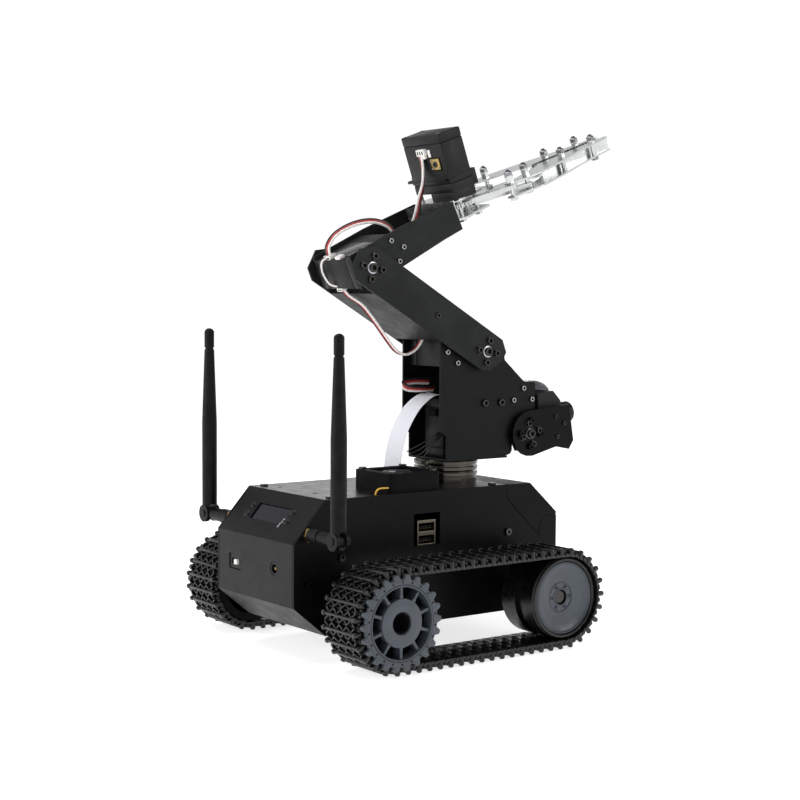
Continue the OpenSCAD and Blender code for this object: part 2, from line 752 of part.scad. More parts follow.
// Meshing sector gear with its arm; phase shifts the teeth by half a pitch on one side
gear_teeth = 20;
module gear_outline(phase)
    polygon([for (i = [0 : gear_teeth - 1])
        let (a = 360 / gear_teeth)
        each [for (q = [[-0.38, gear_r - 1.2], [-0.13, gear_r + 0.85], [0.13, gear_r + 0.85], [0.38, gear_r - 1.2]])
            q[1] * [cos((i + q[0] + phase) * a), sin((i + q[0] + phase) * a)]]]);

module bar(a, b, w)
    translate(a) rotate(atan2(b[1] - a[1], b[0] - a[0])) {
        translate([0, -w / 2]) square([norm(b - a), w]);
        circle(r = w / 2, $fn = 32);
        translate([norm(b - a), 0]) circle(r = w / 2, $fn = 32);
    }

crank_end = grip_link * [cos(grip_angle), sin(grip_angle)];
crank_pin = [0, gear_r];
follower_pin = [follower_x, gear_r - 3.2];

// Crank: gear and link in the upper layer, on a pin through both base plates
module crank(side) color([0.8, 0.8, 0.82])
    in_gripper() on_side(side) difference() {
        union() {
            translate([0, 0, 0.4]) linear_extrude(3) {
                translate(crank_pin) gear_outline(side > 0 ? 0 : 0.5);
                bar(crank_pin, crank_pin + crank_end, 8);
            }
            if (side > 0) translate([crank_pin[0], crank_pin[1], -8.2]) cylinder(r = pin_r, h = 16.6, $fn = 24);
            if (side > 0) translate([crank_pin[0], crank_pin[1], 7.2]) cylinder(r = 2.8, h = 2.4, $fn = 6);
            if (side < 0) translate([crank_pin[0], crank_pin[1], -8.2]) cylinder(r = pin_r, h = 10, $fn = 24);
            if (side < 0) translate([crank_pin[0], crank_pin[1], 2]) cylinder(r = 3, h = 15);
            translate([crank_pin[0], crank_pin[1], -10]) cylinder(r = 2.8, h = 2, $fn = 6);
        }
        translate([crank_pin[0] + crank_end[0], crank_pin[1] + crank_end[1], -20])
            cylinder(r = pin_r + run, h = 40);
    }
module crank_left() crank(1);
module crank_right() crank(-1);

// Follower link in the lower layer, parallel to the crank
module follower(side) color([0.8, 0.8, 0.82])
    in_gripper() on_side(side) difference() {
        union() {
            translate([0, 0, -3.4]) linear_extrude(3) bar(follower_pin, follower_pin + crank_end, 7);
            translate([follower_pin[0], follower_pin[1], -8.2]) cylinder(r = pin_r, h = 16.6, $fn = 24);
            for (z = [-10, 7.2]) translate([follower_pin[0], follower_pin[1], z])
                cylinder(r = 2.8, h = z < 0 ? 2 : 4.4, $fn = 6);
        }
        translate([follower_pin[0] + crank_end[0], follower_pin[1] + crank_end[1], -20])
            cylinder(r = pin_r + 0.4, h = 40);
    }
module follower_left() follower(1);
module follower_right() follower(-1);

// Finger: two plates over and under the links, joined by the jaw block with gripping ribs
jaw_y = 3;
finger_a = crank_pin + crank_end;
finger_b = follower_pin + crank_end;
jaw_back = 80;
finger_plate = concat(
    [finger_a + [-4.4, -1], finger_a + [-3, 4], finger_a + [2, 5.5], finger_b + [6, 9.5], [84, 24],
     [112, 14.5], [grip_tip, 6.4], [grip_tip, jaw_y], [jaw_back, jaw_y], [jaw_back - 6, 8],
     finger_b + [-1, -5]]);
module finger(side) color([0.82, 0.82, 0.84])
    in_gripper() on_side(side) {
        difference() {
            union() {
                for (z = [finger_gap, -finger_gap - 1.2]) translate([0, 0, z]) linear_extrude(1.2)
                    polygon(finger_plate);
                block([jaw_back, jaw_y, -finger_gap], [grip_tip, jaw_y + 2.6, finger_gap]);
            }
            for (x = [jaw_back + 2 : 3 : grip_tip - 2]) block([x, jaw_y - 1, -6], [x + 1.4, jaw_y + 0.8, 6]);
        }
        translate([finger_a[0], finger_a[1], -7.4]) cylinder(r = pin_r, h = 14.8, $fn = 24);
        translate([finger_a[0], finger_a[1], 5]) cylinder(r = 2.8, h = 4.6, $fn = 6);
        translate([finger_a[0], finger_a[1], -7.4]) cylinder(r = 2.8, h = 2.4, $fn = 6);
        translate([finger_b[0], finger_b[1], -7.4]) cylinder(r = pin_r, h = 14.8, $fn = 24);
        translate([finger_b[0], finger_b[1], 5]) cylinder(r = 2.8, h = 4.6, $fn = 6);
        translate([finger_b[0], finger_b[1], -7.4]) cylinder(r = 2.8, h = 2.4, $fn = 6);
        for (x = [98, 128]) {
            translate([x, 8.6, -finger_gap]) cylinder(r = 1.6, h = 2 * finger_gap);
            translate([x, 8.6, 5]) cylinder(r = 2.6, h = 3, $fn = 6);
        }
    }
module finger_left() finger(1);
module finger_right() finger(-1);

// ---------- camera ----------

camera_side = concat(
    arc([0, 0], 15.4, 90, 270, 10), [[22, -12.8], [33.5, -16.5], [38.2, -11.2], [37, 14.4], [4, 15.4]]);
module camera_bracket() color([0.09, 0.09, 0.1])
    in_camera() {
        for (side = [-1, 1]) on_side(side) difference() {
            union() {
                profile(camera_side, arm_in - 0.4, arm_in + arm_sheet - 0.4);
                rod_y(8, column_out + 0.3, arm_in - 0.4);
                rod_y(2, 11.5, column_out + 0.4);
                screw_ring(8.6, arm_in + arm_sheet - 0.4, 8);
                cap_screw(2.6, arm_in + arm_sheet - 0.4, 1.8);
            }
        }
        block([35.2, -arm_in + 0.4, -14], [36.6, arm_in - 0.4, -9]);
        block([14, -arm_in + 0.4, -11.6], [34, arm_in - 0.4, -10.4]);
    }

module camera() color([0.06, 0.06, 0.06])
    in_camera() {
        difference() {
            block([14.5, -19, -10.2], [35, 19, 24.5]);
            profile([[28, 26], [36, 26], [36, 17], [35, 17]], -30, 30);
        }
        translate([0, 0, 4.4]) rod_x(9, 35, 41);
        translate([0, 0, 4.4]) difference() {
            rod_x(7.4, 41, 57);
            rod_x(5.6, 54, 60);
        }
    }

// ---------- cords: routes chosen by hand ----------

fan_lead_route = [[-30.65, -38, 103], [-33.5, -38, 103], [-37.6, -38, 102.6], [-39.6, -38, 100.4],
    [-40, -38, 96]];
column_lead_route = [[40, 13, 165.5], [28, 13, 166], [20, 12, 165.4], [17, 10, 163.6],
    [20, 8, 161.6], [28, 7, 161], [40, 7, 161]];
ribbon_route = [[34.5, 0, 158], [27, 1, 156], [18, 3, 148], [11, 6, 134], [8, 8, 120],
    [7, 9, 108], [7, 10, 97]];
flex_route = [[103, -2, 163.5], [108, -3, 165], [114, -4, 164.8], [120, -4, 162.8],
    [123.8, -4, 160], [125.4, -4, 157.6]];
arm_lead_route = [[-36, 4, 226.4], [-33, 2, 222.5], [-24, 0, 216.5], [-14, 0, 206], [-2, 0, 192],
    [4, 0, 186.5], [11, 0, 184.6], [19, 0, 188], [24, 0, 194], [28, 0, 199], [34, 0, 201], [42, 0, 198.4]];
elbow_lead_route = [[-45.4, 6, 247.6], [-46.5, 6, 254], [-41, 5, 262], [-28, 4, 268.6],
    [-14, 3, 271], [-3, 2, 268.5], [4, 1, 262]];
gripper_lead_route = [[23, 2, 316.6], [25, 2, 309.4], [26, 2, 302], [25, 1, 295],
    [22, 0, 287], [19, -1, 277], [16, -1, 268]];
wire_r = 1.3;

module lead(route, r) sweep(spline(route, 4), round_section(r), [0, 1, 0.05]);
module fan_lead() color([0.8, 0.2, 0.1]) lead(fan_lead_route, 1.1);
module column_lead() color([0.8, 0.2, 0.1]) lead(column_lead_route, wire_r);
module ribbon_cable() color([0.9, 0.9, 0.95]) {
    sweep(spline(ribbon_route, 4), flat_section(16, 0.5), [-0.1, 1, 0]);
    sweep(spline(flex_route, 4), flat_section(16, 0.5), [0, 1, 0]);
}
module arm_lead() color([0.8, 0.2, 0.1]) lead(arm_lead_route, wire_r);
module forearm_lead() color([0.8, 0.2, 0.1]) {
    lead(elbow_lead_route, wire_r);
    lead(gripper_lead_route, wire_r);
}

chassis_tub();
top_cover();
rear_panel();
front_cover();
oled_display();
rear_connectors();
usb_ports();
main_board();
heatsink();
battery_cells();
battery_tray();
gear_motors();
idler_axles();
antenna_sockets();
fan_frame();
slew_base();
chassis_screws();
track_left();
track_right();
fan_lead();
switch_lever();
fan_rotor();
sprocket_left();
sprocket_right();
drive_shaft_left();
drive_shaft_right();
idler_left();
idler_right();
idler_rim_left();
idler_rim_right();
antenna_elbow_left();
antenna_elbow_right();
antenna_left();
antenna_right();
slew_top();
column();
pan_servo();
shoulder_servo();
tilt_servo();
column_screws();
column_lead();
ribbon_cable();
upper_arm();
upper_arm_horns();
upper_arm_screws();
arm_lead();
forearm();
elbow_servo();
gripper_base();
gripper_servo();
forearm_lead();
forearm_screws();
crank_left();
crank_right();
follower_left();
follower_right();
finger_left();
finger_right();
camera_bracket();
camera();
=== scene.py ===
"""Looks of the tracked robot: materials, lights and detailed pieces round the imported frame."""
import json
import math

import bmesh
import bpy
from mathutils import Matrix, Vector


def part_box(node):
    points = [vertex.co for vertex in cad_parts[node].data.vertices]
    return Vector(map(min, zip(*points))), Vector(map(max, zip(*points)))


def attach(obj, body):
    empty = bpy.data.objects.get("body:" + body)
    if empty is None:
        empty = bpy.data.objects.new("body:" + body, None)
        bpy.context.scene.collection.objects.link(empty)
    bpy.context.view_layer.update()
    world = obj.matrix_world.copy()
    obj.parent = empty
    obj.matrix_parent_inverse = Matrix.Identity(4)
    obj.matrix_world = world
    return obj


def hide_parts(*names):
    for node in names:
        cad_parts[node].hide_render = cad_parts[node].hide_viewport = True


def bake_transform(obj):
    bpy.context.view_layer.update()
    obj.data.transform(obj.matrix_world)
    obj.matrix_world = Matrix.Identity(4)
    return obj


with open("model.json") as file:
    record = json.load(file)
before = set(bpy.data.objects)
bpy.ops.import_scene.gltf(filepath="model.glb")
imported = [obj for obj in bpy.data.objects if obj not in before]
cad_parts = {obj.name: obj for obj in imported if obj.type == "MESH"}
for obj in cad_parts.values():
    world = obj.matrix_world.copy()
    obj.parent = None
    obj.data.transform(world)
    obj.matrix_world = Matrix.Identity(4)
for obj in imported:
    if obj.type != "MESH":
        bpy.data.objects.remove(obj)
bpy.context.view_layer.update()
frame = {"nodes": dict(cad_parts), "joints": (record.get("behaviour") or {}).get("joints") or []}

# ---------- driving dimensions, in millimetres ----------
MM = 0.001
UPPER_ANGLE = 150
FOREARM_ANGLE = 26
GRIPPER_ANGLE = 20
CAMERA_ANGLE = 7
GEAR_R = 10
LINK_PITCH = 8
LINKS = 55
TEETH = 22
PITCH_R = TEETH * LINK_PITCH / (2 * math.pi)
WHEELBASE = (LINKS - TEETH) / 2 * LINK_PITCH
AXLE_Z = 32.2
CLEAT_H = AXLE_Z - PITCH_R
TRACK_IN = 64
TRACK_OUT = 99.2
TRACK_MID = (TRACK_IN + TRACK_OUT) / 2
SERVO_L = 30
SERVO_W = 10
SERVO_H = 39
SHAFT_BACK = 10


def joint_at(name):
    """Place of a joint, in millimetres."""
    found = next(j for j in frame["joints"] if j["name"] == name)
    return Vector(found["pos_m"]) / MM


def tilted(origin, degrees):
    """Frame of an arm member: its X axis points up by this angle."""
    return Matrix.Translation(origin) @ Matrix.Rotation(-math.radians(degrees), 4, "Y")


def axes(origin, x_axis, z_axis):
    """Frame from its origin and two of its axes."""
    x, z = Vector(x_axis).normalized(), Vector(z_axis).normalized()
    y = z.cross(x)
    rows = [[x[i], y[i], z[i], origin[i]] for i in range(3)]
    return Matrix(rows + [[0, 0, 0, 1]])


def along(a, b):
    """Frame at a whose Z axis points at b."""
    a, b = Vector(a), Vector(b)
    turn = (b - a).to_track_quat("Z", "Y").to_matrix().to_4x4()
    return Matrix.Translation(a) @ turn


SHOULDER = joint_at("shoulder")
ELBOW = joint_at("elbow")
GRIP_AT = joint_at("grip") - Vector((0, GEAR_R, 0))
UPPER = tilted(SHOULDER, UPPER_ANGLE)
FORE = tilted(ELBOW, FOREARM_ANGLE)
GRIP = tilted(GRIP_AT, GRIPPER_ANGLE)
CAM = tilted(joint_at("camera_tilt"), CAMERA_ANGLE)
FAN_AT = joint_at("fan_spin")


# ---------- camera ----------

VIEW_FROM = Vector((-0.6262, -0.8595, 0.2250))
VIEW_BACK = Vector((-0.5917, -0.8035, 0.0657))
VIEW_ROLL = 0.30
LENS = 73.45


def make_camera():
    """Camera at the object's three-quarter rear view."""
    data = bpy.data.cameras.new("camera")
    data.lens = LENS
    data.sensor_width = 36
    data.clip_start = 0.05
    data.clip_end = 30
    view = bpy.data.objects.new("view_camera", data)
    bpy.context.scene.collection.objects.link(view)
    turn = VIEW_BACK.to_track_quat("Z", "Y").to_matrix().to_4x4()
    roll = Matrix.Rotation(math.radians(VIEW_ROLL), 4, "Z")
    view.matrix_world = Matrix.Translation(VIEW_FROM) @ turn @ roll
    bpy.context.scene.camera = view


# ---------- materials ----------


class Finish:
    """A node material built up from noise-driven colour, roughness and bump."""

    def __init__(self, name, color, roughness, metallic=0.0):
        self.material = bpy.data.materials.new(name)
        self.material.use_nodes = True
        self.tree = self.material.node_tree
        self.shader = self.tree.nodes["Principled BSDF"]
        self.shader.inputs["Base Color"].default_value = (*color, 1)
        self.shader.inputs["Roughness"].default_value = roughness
        self.shader.inputs["Metallic"].default_value = metallic
        self.color = color
        self.roughness = roughness
        self.where = self.tree.nodes.new("ShaderNodeTexCoord")
        self.bumps = None

    def noise(self, scale, detail=3.0, stretch=(1, 1, 1)):
        """Noise in object space; scale is in cycles per metre."""
        mapping = self.tree.nodes.new("ShaderNodeMapping")
        mapping.inputs["Scale"].default_value = stretch
        self.tree.links.new(self.where.outputs["Object"], mapping.inputs["Vector"])
        node = self.tree.nodes.new("ShaderNodeTexNoise")
        node.inputs["Scale"].default_value = scale
        node.inputs["Detail"].default_value = detail
        self.tree.links.new(mapping.outputs["Vector"], node.inputs["Vector"])
        return node.outputs["Fac"]

    def vary_color(self, source, darker, lighter, low=0.35, high=0.65):
        """Runs the base colour between two multiples of itself."""
        ramp = self.tree.nodes.new("ShaderNodeValToRGB")
        stops = ((low, darker), (high, lighter))
        for element, (position, factor) in zip(ramp.color_ramp.elements, stops):
            element.position = position
            element.color = (*[c * factor for c in self.color], 1)
        self.tree.links.new(source, ramp.inputs["Fac"])
        self.tree.links.new(ramp.outputs["Color"], self.shader.inputs["Base Color"])
        return self

    def vary_roughness(self, source, spread):
        """Runs the roughness this far to each side of its own value."""
        node = self.tree.nodes.new("ShaderNodeMapRange")
        node.inputs["From Min"].default_value = 0.3
        node.inputs["From Max"].default_value = 0.7
        node.inputs["To Min"].default_value = self.roughness - spread
        node.inputs["To Max"].default_value = self.roughness + spread
        self.tree.links.new(source, node.inputs["Value"])
        self.tree.links.new(node.outputs["Result"], self.shader.inputs["Roughness"])
        return self

    def bump(self, source, strength, distance=0.0002):
        """Adds a bump on top of those already there."""
        node = self.tree.nodes.new("ShaderNodeBump")
        node.inputs["Strength"].default_value = strength
        node.inputs["Distance"].default_value = distance
        self.tree.links.new(source, node.inputs["Height"])
        if self.bumps is not None:
            self.tree.links.new(self.bumps, node.inputs["Normal"])
        self.bumps = node.outputs["Normal"]
        self.tree.links.new(self.bumps, self.shader.inputs["Normal"])
        return self

    def coat(self, weight, roughness):
        """Clear layer over the colour."""
        self.shader.inputs["Coat Weight"].default_value = weight
        self.shader.inputs["Coat Roughness"].default_value = roughness
        return self

    def specular(self, level):
        """Strength of the dielectric reflection."""
        self.shader.inputs["Specular IOR Level"].default_value = level
        return self


def powder_coat(name, color, roughness, level):
    """Fine orange peel with faint cloudiness."""
    made = Finish(name, color, roughness).specular(level)
    made.vary_color(made.noise(55), 0.8, 1.2)
    made.vary_roughness(made.noise(130, 4), 0.05)
    made.bump(made.noise(1500, 2), 0.22, 0.00012)
    return made


def moulded(name, color, roughness=0.45, grain=0.18, level=0.5):
    """Moulded plastic with a fine spark-eroded grain."""
    made = Finish(name, color, roughness).specular(level)
    made.vary_color(made.noise(90), 0.88, 1.14)
    made.vary_roughness(made.noise(260, 4), 0.06)
    made.bump(made.noise(2600, 2), grain, 0.00008)
    return made


def rubber(name, color, roughness, level):
    """Rubber with dull dusty patches on its faces."""
    made = Finish(name, color, roughness).specular(level)
    made.vary_color(made.noise(140, 5), 0.6, 2.2)
    made.vary_roughness(made.noise(320, 4), 0.1)
    made.bump(made.noise(1100, 4), 0.3, 0.0002)
    return made


def brushed(name, color, roughness, stretch=(0.03, 1, 1), depth=0.12):
    """Metal with drawn-out scratches along the short axis of the stretch."""
    made = Finish(name, color, roughness, 1.0)
    lines = made.noise(2400, 3, stretch)
    made.vary_roughness(lines, 0.08)
    made.vary_color(made.noise(80, 4), 0.93, 1.05)
    made.bump(lines, depth, 0.00006)
    return made


def insulation(name, color):
    """Soft wire insulation with slight scuffs."""
    made = Finish(name, color, 0.38)
    made.vary_color(made.noise(400, 3), 0.88, 1.08)
    made.bump(made.noise(900, 2), 0.12, 0.0001)
    return made


def striped_film():
    """Flat cable: pale film with the conductors showing as fine lines across its width."""
    made = Finish("ribbon_film", (0.86, 0.87, 0.93), 0.3)
    across = made.tree.nodes.new("ShaderNodeAttribute")
    across.attribute_name = "across"
    wave = made.tree.nodes.new("ShaderNodeMath")
    wave.operation = "MULTIPLY"
    wave.inputs[1].default_value = 15.0
    saw = made.tree.nodes.new("ShaderNodeMath")
    saw.operation = "PINGPONG"
    saw.inputs[1].default_value = 0.5
    made.tree.links.new(across.outputs["Fac"], wave.inputs[0])
    made.tree.links.new(wave.outputs[0], saw.inputs[0])
    made.vary_color(saw.outputs[0], 0.8, 1.04, 0.05, 0.3)
    made.bump(saw.outputs[0], 0.25, 0.0001)
    return made


def printed_board():
    """Solder mask with darker copper runs."""
    made = Finish("circuit_board", (0.012, 0.09, 0.045), 0.3)
    made.vary_color(made.noise(700, 1, (1, 0.2, 1)), 0.6, 1.5, 0.48, 0.52)
    made.bump(made.noise(700, 1, (1, 0.2, 1)), 0.2, 0.0001)
    return made


# Copies of one black powder coat whose base colours are set apart by part, painted light and shade: lighter
# on the top, rear panel, column and arm plates, darkest on the chassis sides, front cover and camera
# bracket.
PAINT = powder_coat("black_sheet", (0.002, 0.002, 0.0022), 0.36, 0.09).material
PAINT_TOP = powder_coat("black_sheet_top", (0.003, 0.003, 0.003), 0.3, 0.5).material
PAINT_REAR = powder_coat("black_sheet_rear", (0.0045, 0.0045, 0.0054), 0.4, 0.15).material
PAINT_ARM = powder_coat("black_sheet_arm", (0.0135, 0.015, 0.0143), 0.44, 0.1).material
PAINT_COLUMN = powder_coat("black_sheet_column", (0.0028, 0.0032, 0.003), 0.44, 0.12).material
PLASTIC = moulded("black_plastic", (0.0065, 0.0065, 0.007), level=0.2).material
# Dull black plastic, also used as painted shade in bores, holes, pockets and openings.
DULL_PLASTIC_AND_SHADE = moulded("dull_black_plastic_and_painted_shade", (0.0025, 0.0025, 0.003), 0.6, 0.25, 0.08).material
WHEEL = moulded("wheel_plastic", (0.039, 0.048, 0.06), 0.36, 0.12, 0.45).material
TREAD = rubber("track_rubber", (0.0018, 0.0018, 0.002), 0.34, 0.45).material
WHIP = rubber("aerial_rubber", (0.0025, 0.0025, 0.0028), 0.4, 0.12).material
ALLOY = brushed("bare_aluminium", (0.56, 0.57, 0.57), 0.26).material
RING = brushed("ring_steel", (0.068, 0.063, 0.055), 0.2, (1, 1, 0.02)).material
STEEL = brushed("plug_steel", (0.1, 0.09, 0.07), 0.3).material
MOTOR = brushed("motor_steel", (0.4, 0.4, 0.42), 0.32).material
ZINC = brushed("bright_screws", (0.34, 0.34, 0.36), 0.24, (1, 1, 1)).material
NUT = brushed("nut_steel", (0.24, 0.24, 0.25), 0.25, (1, 1, 1)).material
OXIDE = brushed("dark_screws", (0.055, 0.053, 0.05), 0.24, (1, 1, 1)).material
BRASS = brushed("brass", (0.36, 0.25, 0.09), 0.28, (1, 1, 0.1)).material
GLASS = Finish("display_glass", (0.003, 0.0035, 0.008), 0.12).specular(0.3).coat(0.12, 0.05)
GLASS = GLASS.vary_roughness(GLASS.noise(60), 0.05).material
BOARD = printed_board().material
CELLS = moulded("cell_wrap", (0.05, 0.24, 0.13), 0.3, 0.05).material
NYLON = moulded("white_plastic", (0.72, 0.71, 0.68), 0.4, 0.1).material
FILM = striped_film().material
WIRE_WHITE = insulation("wire_white", (0.8, 0.76, 0.74)).material
WIRE_RED = insulation("wire_red", (0.42, 0.03, 0.025)).material
WIRE_DARK = insulation("wire_dark", (0.012, 0.012, 0.013)).material
WIRE_BLACK = moulded("wire_black", (0.004, 0.004, 0.004), 0.3, 0.1, 0.5).material
WIRE_YELLOW = insulation("wire_yellow", (0.72, 0.42, 0.03)).material
LENS_GLASS = Finish("lens_glass", (0.002, 0.002, 0.006), 0.06).specular(0.4).coat(0.5, 0.02)
LENS_GLASS = LENS_GLASS.vary_roughness(LENS_GLASS.noise(90), 0.03).material


# ---------- mesh building ----------


class Shape:
    """Solids in millimetres that become one piece, each with its own material."""

    def __init__(self, place=None):
        self.mesh = bmesh.new()
        self.materials = []
        self.place = place or Matrix()

    def add(self, part, material, place=None):
        """Takes a finished solid, in the local frame given by place."""
        if material not in self.materials:
            self.materials.append(material)
        part.transform(self.place @ (place or Matrix()))
        bmesh.ops.recalc_face_normals(part, faces=part.faces)
        for face in part.faces:
            face.material_index = self.materials.index(material)
        held = bpy.data.meshes.new("held")
        part.to_mesh(held)
        part.free()
        self.mesh.from_mesh(held)
        bpy.data.meshes.remove(held)

    def box(self, low, high, material, radius=0.0, place=None, steps=2):
        """Box between two corners, its edges rounded by radius."""
        part = bmesh.new()
        bmesh.ops.create_cube(part, size=1)
        for vert in part.verts:
            vert.co = Vector(a + (c + 0.5) * (b - a) for a, b, c in zip(low, high, vert.co))
        if radius:
            round_edges(part, part.edges[:], radius, steps)
        self.add(part, material, place)

    def prism(self, points, z0, z1, material, radius=0.0, place=None):
        """Outline in local X and Y, from z0 to z1."""
        part = bmesh.new()
        low = [part.verts.new((p[0], p[1], z0)) for p in points]
        high = [part.verts.new((p[0], p[1], z1)) for p in points]
        part.faces.new(low)
        part.faces.new(high)
        for i in range(len(points)):
            j = (i + 1) % len(points)
            part.faces.new((low[i], low[j], high[j], high[i]))
        bmesh.ops.recalc_face_normals(part, faces=part.faces)
        if radius:
            sharp = [e for e in part.edges if e.calc_face_angle() > 0.6]
            round_edges(part, sharp, radius, 2)
        self.add(part, material, place)

    def lathe(self, profile, material, place=None, sides=32, closed=False, six=()):
        """Turned solid about local Z through (radius, height) points; six lists hexagonal rings."""
        part = bmesh.new()
        rings = []
        for number, (radius, height) in enumerate(profile):
            if radius < 1e-6:
                rings.append([part.verts.new((0, 0, height))])
                continue
            ring = []
            for i in range(sides):
                angle = 2 * math.pi * i / sides
                flat = math.cos((angle % (math.pi / 3)) - math.pi / 6) if number in six else 1
                reach = radius / flat
                ring.append(part.verts.new((reach * math.cos(angle), reach * math.sin(angle), height)))
            rings.append(ring)
        if closed:
            rings.append(rings[0])
        for a, b in zip(rings, rings[1:]):
            for i in range(sides):
                j = (i + 1) % sides
                if len(a) == 1 and len(b) == 1:
                    continue
                if len(a) == 1:
                    part.faces.new((a[0], b[i], b[j]))
                elif len(b) == 1:
                    part.faces.new((a[i], a[j], b[0]))
                else:
                    part.faces.new((a[i], a[j], b[j], b[i]))
        self.add(part, material, place)

    def rod(self, a, b, radius, material, sides=24, chamfer=0.15):
        """Round bar between two points with chamfered ends."""
        length = (Vector(b) - Vector(a)).length
        cut = min(chamfer, radius * 0.4, length * 0.3)
        profile = [(0, 0), (radius - cut, 0), (radius, cut), (radius, length - cut),
                   (radius - cut, length), (0, length)]
        self.lathe(profile, material, along(a, b), sides)

    def thread(self, a, b, radius, material, pitch=0.5):
        """Threaded bar: a bar with a ridge every pitch."""
        length = (Vector(b) - Vector(a)).length
        profile = [(0, 0)]
        for i in range(int(length / pitch)):
            profile += [(radius * 0.86, i * pitch), (radius, (i + 0.5) * pitch)]
        profile += [(radius * 0.8, length), (0, length)]
        self.lathe(profile, material, along(a, b), 14)

    def nut(self, a, b, radius, material):
        """Hexagon nut with chamfered corners and a nylon ring at its far end."""
        length = (Vector(b) - Vector(a)).length
        profile = [(0, 0), (radius * 0.8, 0), (radius * 0.87, 0.25), (radius * 0.87, length - 0.5),
                   (radius * 0.78, length - 0.2), (radius * 0.7, length), (0, length)]
        self.lathe(profile, material, along(a, b), 24, six=(2, 3))

    def socket_screw(self, a, b, radius, material):
        """Cap screw whose head stands from a to b, with a hexagon socket."""
        length = (Vector(b) - Vector(a)).length
        profile = [(0, 0), (radius * 0.96, 0), (radius, 0.12), (radius, length * 0.8),
                   (radius * 0.88, length), (radius * 0.56, length), (radius * 0.5, length * 0.92),
                   (radius * 0.48, length * 0.35), (0, length * 0.25)]
        self.lathe(profile, material, along(a, b), 24, six=(6, 7))
        # Dark plug deep in the socket: painted shade in the socket's depth.
        hole, low, high = radius * 0.52, length * 0.2, length * 0.45
        socket = [(0, low), (hole, low), (hole, high), (0, high)]
        self.lathe(socket, DULL_PLASTIC_AND_SHADE, along(a, b), 12)

    def tube(self, points, radius, material, sides=8, place=None):
        """Round tube through the points."""
        section = [(radius * math.cos(2 * math.pi * i / sides), radius * math.sin(2 * math.pi * i / sides))
                   for i in range(sides)]
        self.sweep(points, section, material, Vector((0.1, 1, 0.05)), place)

    def sweep(self, points, section, material, side, place=None):
        """Section carried along the points, its first axis held towards side."""
        part = bmesh.new()
        rings = []
        for point, w, n in ring_frames(points, side):
            rings.append([part.verts.new(point + a * w + b * n) for a, b in section])
        for a, b in zip(rings, rings[1:]):
            for i in range(len(section)):
                j = (i + 1) % len(section)
                part.faces.new((a[i], a[j], b[j], b[i]))
        part.faces.new(rings[0])
        part.faces.new(rings[-1])
        self.add(part, material, place)

    def done(self, name, body, slot, replaces=(), sharp=38, free=False):
        """Makes the piece, in metres, and has it ride on its body unless it is left free."""
        self.mesh.transform(Matrix.Scale(MM, 4))
        data = bpy.data.meshes.new(name)
        self.mesh.to_mesh(data)
        self.mesh.free()
        for material in self.materials:
            data.materials.append(material)
        data.shade_smooth()
        data.set_sharp_from_angle(angle=math.radians(sharp))
        piece = bpy.data.objects.new(name, data)
        bpy.context.scene.collection.objects.link(piece)
        if not free:
            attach(piece, body)
        if replaces:
            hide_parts(*replaces)
        return piece


def round_edges(part, edges, radius, steps):
    """Rounds edges of a solid."""
    bmesh.ops.bevel(part, geom=edges, offset=radius, segments=steps, profile=0.5, affect="EDGES")


def ring_frames(points, side):
    """Each point of a route with the two directions across it."""
    found = []
    for i, point in enumerate(points):
        ahead = points[min(i + 1, len(points) - 1)] - points[max(i - 1, 0)]
        t = ahead.normalized()
        w = (side - side.dot(t) * t).normalized()
        found.append((point, w, t.cross(w)))
    return found


def spline(route, steps=8):
    """Smooth curve through given points."""
    p = [Vector(q) for q in route]
    curve = []
    for i in range(len(p) - 1):
        a, b, c, d = p[max(i - 1, 0)], p[i], p[i + 1], p[min(i + 2, len(p) - 1)]
        for j in range(steps):
            t = j / steps
            curve.append(0.5 * (2 * b + (c - a) * t + (2 * a - 5 * b + 4 * c - d) * t * t
                                + (3 * b - a - 3 * c + d) * t ** 3))
    return curve + [p[-1]]


def arc(radius, start, stop, steps):
    """Points of an arc about the origin, angles in degrees."""
    turns = [math.radians(start + (stop - start) * i / steps) for i in range(steps + 1)]
    return [(radius * math.cos(a), radius * math.sin(a)) for a in turns]


def circle(radius, sides):
    """Points of a full circle."""
    return arc(radius, 0, 360, sides)[:-1]


SIDES = (("left", 1), ("right", -1))

# ---------- tracks ----------

RIBS = 8
KNUCKLES = 5


def track_place(distance):
    """Frame of a link on the loop: X along the track, Y across it, Z outward."""
    half, bend = WHEELBASE / 2, math.pi * PITCH_R
    if distance < WHEELBASE:
        x, z, turn = -half + distance, AXLE_Z + PITCH_R, 0
    elif distance < WHEELBASE + bend:
        turn = (distance - WHEELBASE) / PITCH_R
        x, z = half + PITCH_R * math.sin(turn), AXLE_Z + PITCH_R * math.cos(turn)
    elif distance < 2 * WHEELBASE + bend:
        x, z, turn = half - (distance - WHEELBASE - bend), AXLE_Z - PITCH_R, math.pi
    else:
        turn = math.pi + (distance - 2 * WHEELBASE - bend) / PITCH_R
        x, z = -half + PITCH_R * math.sin(turn), AXLE_Z + PITCH_R * math.cos(turn)
    return Matrix.Translation((x, 0, z)) @ Matrix.Rotation(turn, 4, "Y")


